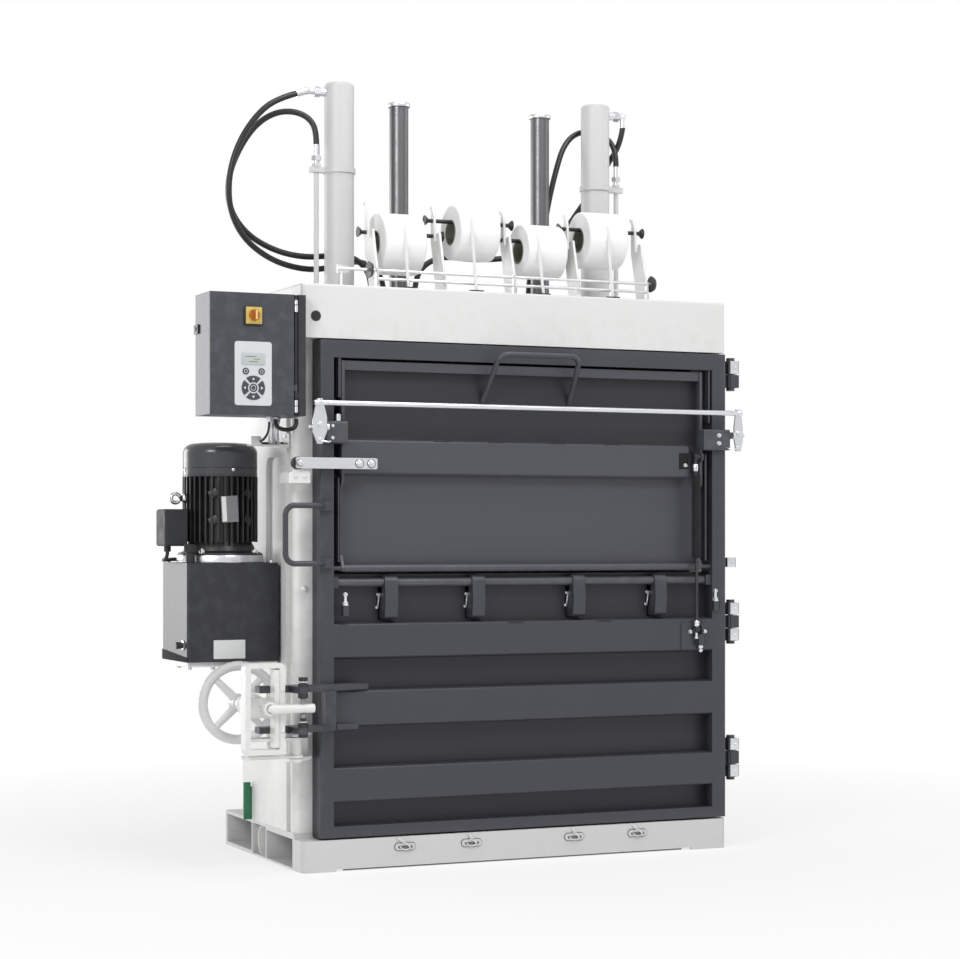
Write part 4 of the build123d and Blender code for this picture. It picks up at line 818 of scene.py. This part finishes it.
def add_bail_end(name, side, outer, inner):
    """One of the zinc lever ends: bar cap, pivot bolts and a hooked finger."""
    middle, y = (outer + inner) / 2, -387.1
    make(f"bail_bolts_{name}", [
        (turned, [(0, 0), (10, 0), (10.5, 1), (10.5, 13), (9, 15), (0, 15)],
         at(middle - side * 4, -384, 1330, (side, 0, 0)), 28),
        (bolt, at(middle, y, 1268, FRONT), 13),
        (bolt, at(middle, y, 1226, FRONT), 10),
        (bolt, at(outer, -378, 1262, (side, 0, 0)), 12)], body="bail", angle=35)
    bent_rod(f"bail_finger_{name}",
             ((middle, -388, 1222), (middle - side * 14, -391, 1221), (middle - side * 26, -390, 1219),
              (middle - side * 33, -384, 1222), (middle - side * 36, -372.5, 1224)), 3, "flap", 3)


def add_boss_bolts():
    """Bolts in the flap's pivot bosses, and the latch pin beside them."""
    bolt_set("boss_bolts_left", ((-604, -372, 1266), (-604, -372, 1232)), FRONT, 9, "flap", washer=False)
    bolt_set("boss_bolts_right", ((652, -372, 1262), (652, -372, 1238)), FRONT, 11, "flap")
    make("boss_pin_left", [
        (turned, [(0, 0), (8, 0), (8, 18), (6, 20), (0, 20)], at(-581, -356, 1281), 20)], body="flap", angle=35)


def add_gas_spring_ends():
    """The gas spring's foot, stud and plate bolts, its tube, and its bracket on the flap."""
    bolt_set("spring_plate_bolts", ((563, -354, 664), (612, -354, 664)), FRONT, 10, "door")
    make("spring_end_sleeve", [
        (turned, [(0, 0), (8, 0), (8.6, 2), (8.6, 16), (7, 18), (0, 18)], at(*GAS_SPRING, 680), 24)]
        + [(turned, [(8.4, 0), (9.8, 0.5), (9.8, 3.5), (8.4, 4)], at(*GAS_SPRING, z), 24)
          for z in (682, 690)], body="gas_rod")
    make("spring_end_bolt", [
        (turned, [(0, 0), (5.6, 0), (5.6, 12), (8, 12), (8, 18), (5.6, 19), (0, 19)],
         at(*GAS_SPRING, 661, DOWN), 6)], body="door")
    make("spring_bracket", [
        (plate, rounded(32, 48, 2), 0, 1.6, front(544, -344.6, 1183), 0.3)], "matt_black", "flap")
    bolt_set("spring_top_bolts", ((549, -346, 1170),), FRONT, 10, "flap")
    make("spring_top_sleeve", [
        (turned, [(0, 0), (7.4, 0), (8.2, 1.5), (8.2, 20), (7.4, 21.5), (0, 21.5)],
         at(573.5, -366, 1152), 24)], body="gas_cylinder")
    make("spring_tube", [
        (turned, [(11.2, 245), (11.2, 0), (13, 1.5), (13, 250), (11.2, 251.5), (11.2, 245)],
         at(*GAS_SPRING, 889), 32)], "matt_black", "gas_cylinder")
    make("spring_foot", [(plate, rounded(26, 20, 3), 0, 34, at(592, -363, 622), 0.8)], "grey_paint", "door")
    make("spring_foot_bolt", [
        (bolt, at(592, -364, 622, DOWN), 14, True, 9),
        (bolt, at(592, -364, 609, DOWN), 12, False, 2)], body="door", angle=35)


def on_arm(x, z=ARM_Z, y=ARM_Y):
    """A place on the face of the flat roller arm."""
    return at(x, y, z, FRONT)


def add_flap_arm_detail():
    """Screws on the roller arm: two large flat heads, the axle nut and grub screws."""
    forms = []
    for x in (-528, -492):
        forms += [(turned, [(0, 1), (11, 1), (11, 2.4), (9.4, 3.6), (0, 3.6)], on_arm(x)),
                  (bolt, on_arm(x, y=-391.4), 13, False, 1)]
    forms.append((bolt, on_arm(-706.5), 15, True, 2))
    forms += [(turned, [(0, -0.3), (2.4, -0.3), (2.4, 0.6), (1, 0.6), (0, 0.2)], on_arm(x, z), 16)
              for x, z in ((-509, 1150), (-509, 1170), (-481, 1150))]
    make("arm_screws", forms, body="flap", angle=35)
    make("arm_washers", [
        (turned, [(0, -0.3), (radius, -0.3), (radius, 0.8), (radius - 0.8, 1.2), (0, 1.2)], on_arm(x))
        for x, radius in ((-528, 13), (-492, 13), (-706.5, 11))], "black_oxide", "flap", 35)


def add_rib_slots():
    """Shallow drain slots with raised lips along the ribs' upper edges."""
    make("flap_rib_slots", [
        (plate, rounded(52, 4.5, 2.2), -0.4, 1.1, front(x, -342, 1229), 0.4)
        for x in (-250, -80, 120, 300)], "motor_paint", "flap")
    make("door_rib_slots", [
        (plate, rounded(52, 5, 2.4), -0.4, 1.3, front(x, -349, 700), 0.4)
        for x in (-20, 270)], "motor_paint", "door")


def knuckle_block(shape, low, start, end):
    plate(shape, rounded(33, 31.6, 2), start, end, at(730.8, -316, low), 0.7)


def grease_nipple(shape, x, y, z):
    turned(shape, [(0, 0), (3.2, 0), (3.2, 2), (2, 3.4), (0, 3.4)], at(x, y, z, FRONT), 16)


def add_hinge_caps():
    """Plated bearing blocks with grease nipples on the fixed knuckles, and the door's blocks."""
    blocks = []
    for low, high in HINGE_SPANS:
        blocks += [(knuckle_block, low, 1, high - low - 0.4), (grease_nipple, 735, -331.8, low + (high - low) / 2)]
    blocks += [(plate, rounded(32, 24, 2), 0, 30, at(731.3, -300, 859), 0.7),
               (grease_nipple, 733, -312, 874)]
    make("bearing_blocks", blocks)
    make("stop_block", [(plate, rounded(30, 24, 2), 0, 30, at(702, -286, 859), 0.7)], "grey_paint")
    make("door_knuckle_blocks", [
        (knuckle_block, low, 0.6, high - low - 0.6) for low, high in HINGE_DOOR_SPANS], "grey_paint", "door")


def flap_strip(shape, x0, x1, z0, z1):
    plate(shape, rounded(x1 - x0, 34, 2), 0, z1 - z0, at((x0 + x1) / 2, -329, z0), 0.8)


for stop_name, stop_x in (("stop_left", -557.8), ("stop_right", 650.7)):
    add_stop_bolt(stop_name, stop_x)
for claw_number, claw_x in enumerate((-437, -159, 170, 442), 1):
    add_claw_spring(claw_number, claw_x)
add_bail_end("left", -1, -668, -626)
add_bail_end("right", 1, 728, 698)
coil_spring("bail_spring", (-648, -381, 1228), (-648, -381, 1250), 4.5, 0.8, 8, "bail")
add_boss_bolts()
add_gas_spring_ends()
add_flap_arm_detail()
add_rib_slots()
add_hinge_caps()
# Dark guide strips along both sides of the flap, above and below its bosses
make("flap_strips", [
    (flap_strip, -579, -566, 1349, 1488), (flap_strip, 626, 638, 1300, 1488), (flap_strip, 615, 626, 880, 1205),
    (flap_strip, -580, -571, 880, 1120)], "grey_paint", "flap")
# The ejector lever's bent edge, which stands out past the rear of the side wall
LEVER_EDGE = [(-712, 104.5), (-640.5, 104.5), (-640.5, 203), (-690.5, 203), (-690.5, 216), (-712, 216)]
make("lever_flange", [(plate, LEVER_EDGE, 0, 6, front(0, 104.5, 0), 0.6)], "green_paint", "ejector")


# Motor and tank hardware

MOTOR_X, MOTOR_Y = -825.5, -25
PLATE_ANGLE = -93
FILLER_X, FILLER_Y = -944, -118


def on_motor(angle, radius, z, aside=0):
    """A place on the motor's round at an angle in degrees, its local +Z straight out."""
    turn = radians(angle)
    out, side = Vector((cos(turn), sin(turn), 0)), Vector((-sin(turn), cos(turn), 0))
    return at(*(Vector((MOTOR_X, MOTOR_Y, z)) + out * radius + side * aside), out)


def add_motor_detail():
    """Flange ring, flange and cowl bolts, bare rating plate, bosses between the fins, and lifting eye."""
    upright = at(MOTOR_X, MOTOR_Y, 0)
    make("flange_ring", [
        (turned, [(104, 877.4), (125.6, 877.4), (126.4, 878.6), (126.4, 896), (125, 898.6), (122, 899.4),
                  (104, 899.4)], upright, 96)])
    spots = [(MOTOR_X + x, MOTOR_Y + y, 903) for x, y in polygon(4, 113, radians(-135))]
    bolt_set("flange_bolts", spots, UP, 17, stud=4)
    make("cowl_screws", [
        (turned, [(0, 0), (5, 0), (5, 1.2), (3.4, 2.6), (0, 2.6)], on_motor(angle, 108.2, 1146), 20)
        for angle in (-87, 3, 93, 183)])
    forms = [(turned, [(107.5, z - 1.4), (108.9, z - 0.8), (108.9, z + 0.8), (107.5, z + 1.4)], upright, 96)
             for z in (1152, 1131)]
    for angle, z in ((-118, 1000), (-118, 1078), (-58, 1000), (-58, 1078)):
        boss = on_motor(angle, 96, z)
        forms += [(plate, rounded(30, 22, 4), 0, 11, boss, 1.2),
                  (turned, [(0, 10.5), (5, 10.5), (4, 8), (0, 8)], boss, 20)]
    make("motor_bosses", forms, "motor_paint", angle=35)
    make("rating_plate", [
        (plate, rounded(50, 76, 2), -1.4, 1.4, on_motor(PLATE_ANGLE, 108.8, 1032), 0.3)],
         "plate_face", "frame")
    make("rating_strip", [
        (plate, oblong(13, 72), 1.3, 1.6, on_motor(PLATE_ANGLE, 108.8, 1032, -16))], "bare_plate", "frame")
    make("lifting_ring", [
        (closed_turned, tube(13, 5.6, 7.4, 12), at(MOTOR_X - 135.5, MOTOR_Y, 1064, (0, 1, 0)), 40),
        (turned, [(9.3, 0), (14, 0), (14, 5), (10.5, 8), (9.3, 8), (9.3, 0)],
         at(MOTOR_X - 109, MOTOR_Y, 1064, LEFT), 28)], angle=50)


def add_terminal_detail():
    """The terminal box's raised lid with its rim and four pan-head screws."""
    lid = at(-1005.2, MOTOR_Y, 978.5, LEFT)
    make("terminal_lid", [
        (plate, rounded(100, 78, 6), -6, -2, lid, 0.8),
        (plate, rounded(106, 84, 7), -10, -7.5, lid, 0.6),
        (plate, rounded(76, 54, 4), -2.5, 0.1, lid, 0.8)], "black_plastic")
    pan_head = [(0, -0.4), (3.2, -0.4), (3.2, 0.8), (2.56, 1.76), (0.96, 2.112), (0.768, 0.96), (0, 0.96)]
    corners = ((-33, -44), (-33, 44), (33, -44), (33, 44))
    make("terminal_screws", [
        (turned, pan_head, at(-1003.2, MOTOR_Y + y, 978.5 + z, LEFT, 31 * number), 24)
        for number, (y, z) in enumerate(corners)], angle=35)


def add_tank_detail():
    """Tank: bare plate, filler cap with its ribs, tray and lid bolts, drain washer, and a black sheet of painted
    shadow low on its left side.
    """
    make("tank_plate", [
        (plate, rounded(95, 54, 2), 0, 0.9, front(-837, -149.6, 628), 0.2)],
         "pale_label_stock", "frame")
    make("filler_cap", [
        (plate, oblong(3, 2.4), 0, 19, at(FILLER_X + x, FILLER_Y + y, 908.4), 0.5)
        for x, y in polygon(18, 16.9)]
        + [(turned, [(0, 0), (12, 0), (14, 1), (14, 2.4), (0, 2.4)], at(FILLER_X, FILLER_Y, 928.6)),
          (turned, [(12.1, 0), (13.4, 0.4), (13.4, 26), (12.1, 27)], at(FILLER_X, FILLER_Y, 879))],
         "black_plastic", angle=35)
    bolt_set("tray_bolts", ((-944, -108, 578), (-944, -4, 578), (-880, -128, 578), (-730, -128, 578)), DOWN, 13)
    bolt_set("lid_bolts", ((-950, 80, 877), (-706, 80, 877), (-706, -136, 877), (-850, 94, 877)), UP, 10)
    make("drain_washer", [
        (turned, [(8, 0), (14, 0), (15, 1), (15, 3), (12, 4), (8, 4), (8, 0)],
         at(-962.3, -110, 640, LEFT))], angle=35)
    # Painted shadow: a thin matt black sheet low on the tank's left side, where shade falls.
    shadow_outline = [(-150, 592.6), (103, 592.6), (103, 622), (-150, 606)]
    on_left_side = Matrix(((0, 0, -1, -962.4 * MM), (1, 0, 0, 0), (0, 1, 0, 0), (0, 0, 0, 1)))
    make("tank_side_shadow", [(plate, shadow_outline, 0, 1.4, on_left_side, 0.3)], "matt_black", "frame")


add_motor_detail()
add_terminal_detail()
add_tank_detail()
add_cord("terminal_cable", [(-0.985, -0.025, 0.909), (-0.985, -0.025, 0.894), (-0.99, 0, 0.884),
                            (-0.976, 0.04, 0.884), (-0.946, 0.072, 0.886), (-0.906, 0.088, 0.886),
                            (-0.878, 0.092, 0.88)],
         0.011)


# Lock hardware

CLAMP_X, CLAMP_Y = -722, -456
WHEEL_X, WHEEL_Z = -815, 475


def add_lock_detail():
    """Thread rings and washers on the clamp bolts, nuts on the pivots, and the spindle's collar."""
    threads = [z for start, count in ((486, 8), (448, 6)) for z in range(start, start + 2 * count, 2)]
    make("clamp_threads", [
        (turned, [(7.9, 0), (9.3, 0.9), (7.9, 1.8)], at(CLAMP_X, CLAMP_Y, z), 24) for z in threads]
        + [(turned, [(8.2, 0), (12.8, 0), (12.8, 3), (8.2, 3), (8.2, 0)], at(CLAMP_X, CLAMP_Y, z), 28)
          for z in (547, 436)], body="door", angle=35)
    bolt_set("pivot_nuts", ((-722, -385, 400),), UP, 24)
    bolt_set("hinge_set_bolts", ((-716, -372, 384), (-716, -372, 346)), RIGHT, 19, "lock", "black_plastic", stud=3)
    bolt_set("jaw_bolts", ((-776, -439, 412), (-776, -439, 525)), FRONT, 8, "lock", washer=False)
    make("spindle_collar", [
        (turned, [(13, 0), (19, 0), (20, 1.5), (20, 12), (18.5, 14), (13, 14), (13, 0)],
         at(WHEEL_X, -439.5, WHEEL_Z, FRONT), 36)], "white_paint", "hook", angle=35)
    make("wheel_rim", [
        (closed_turned, tube(106, 14, -13.5, 16), front(WHEEL_X, -165, WHEEL_Z), 72)],
         "base_coat", "wheel", 60)


def arm_tip(shape, low, tip):
    """The thin end in which a lock arm runs out along the rib."""
    plate(shape, [(tip - 70, -350.4), (tip - 70, -366), (tip - 34, -359), (tip, -352), (tip, -350.4)],
          low, low + 16, at(0, 0, 0), 0.5)


add_lock_detail()
make("arm_tips", [(arm_tip, 404, -518), (arm_tip, 517, -488)], "grey_paint", "door")


# Small things on the frame: bracket bolts, cable plug, tape cleats and the guide rods' caps

CLEATS = ((-376, -26), (-167, -10), (167, -8), (379, -18))


def add_head_plug(x, y, z):
    """The black cable plug in the head, with its three slots."""
    cap = [(0, -0.5), (15, -0.5), (15, 1.2), (13.6, 2.6), (11.4, 2.9), (10.8, 2.2), (0, 2.2)]
    make("head_plug", [
        (turned, cap, at(x, y, z, FRONT), 40)]
        + [(plate, rounded(3, 15, 1.4), 2, 3.1, front(x + offset, y, z), 0.4)
          for offset in (-6, 0, 6)], "black_plastic", angle=35)


def add_cleats():
    """At each tape channel a dark plate of painted shade in the slot and a band of painted shade round its rim,
    and a painted contact shadow along the foot of the base's front.
    """
    make("cleat_slot_shade", [
        (plate, rounded(46, 8, 3.9), 3.9, 4.5, front(x, -355, 60), 0.1)
        for x, _ in CLEATS], "slot_shade", "frame")
    make("cleat_rim_shade_and_base_shadow", [
        (band, rounded(66, 24, 11.9), rounded(62, 20, 9.9), -0.4, 1.4,
         front(x, -355, 61)) for x, _ in CLEATS]
        # Painted contact shadow: a dark strip along the foot of the base's front, where it meets the floor.
        + [(plate, oblong(1100, 4), 0, 1, front(-11, -341, 2.5))], "slot_shade", "frame")


def add_cleat_hook(number, x, lean):
    """A spring hook: a wire loop leaning out of its slot, with its little pin."""
    bent_rod(f"cleat_wire_{number}",
             ((x - 17, -359.5, 62), (x - 9, -361, 53), (x + 4, -361.5, 52), (x + 17, -361, 58),
              (x + 8, -361.5, 66), (x - 3, -361.5, 69), (x + lean * 0.6, -360, 79), (x + lean, -357, 89)),
             2, "frame")
    bent_rod(f"cleat_leg_{number}",
             ((x + 14, -360.5, 57), (x + 2, -361, 74), (x + lean * 0.8, -359.5, 86)), 1.7, "frame",
             finish="bare_plate")


bolt_set("ramp_bolts", ((-688, -376, 1121), (-716, -376, 1121)), FRONT, 8, washer=False)
bolt_set("column_bolt", ((-656, -282, 803),), FRONT, 12)
add_head_plug(-646, -350, 1577.7)
add_cleats()
for cleat_number, (cleat_x, cleat_lean) in enumerate(CLEATS, 1):
    add_cleat_hook(cleat_number, cleat_x, cleat_lean)
ROD_CAP = [(30, 2264), (33.6, 2264), (34.2, 2265), (34.2, 2273), (33, 2275.6), (30, 2276.2), (0, 2276.2)]
make("rod_caps", [(turned, ROD_CAP, at(x, 30, 0), 56) for x in (-238.5, 238.5)], body="platen", angle=35)
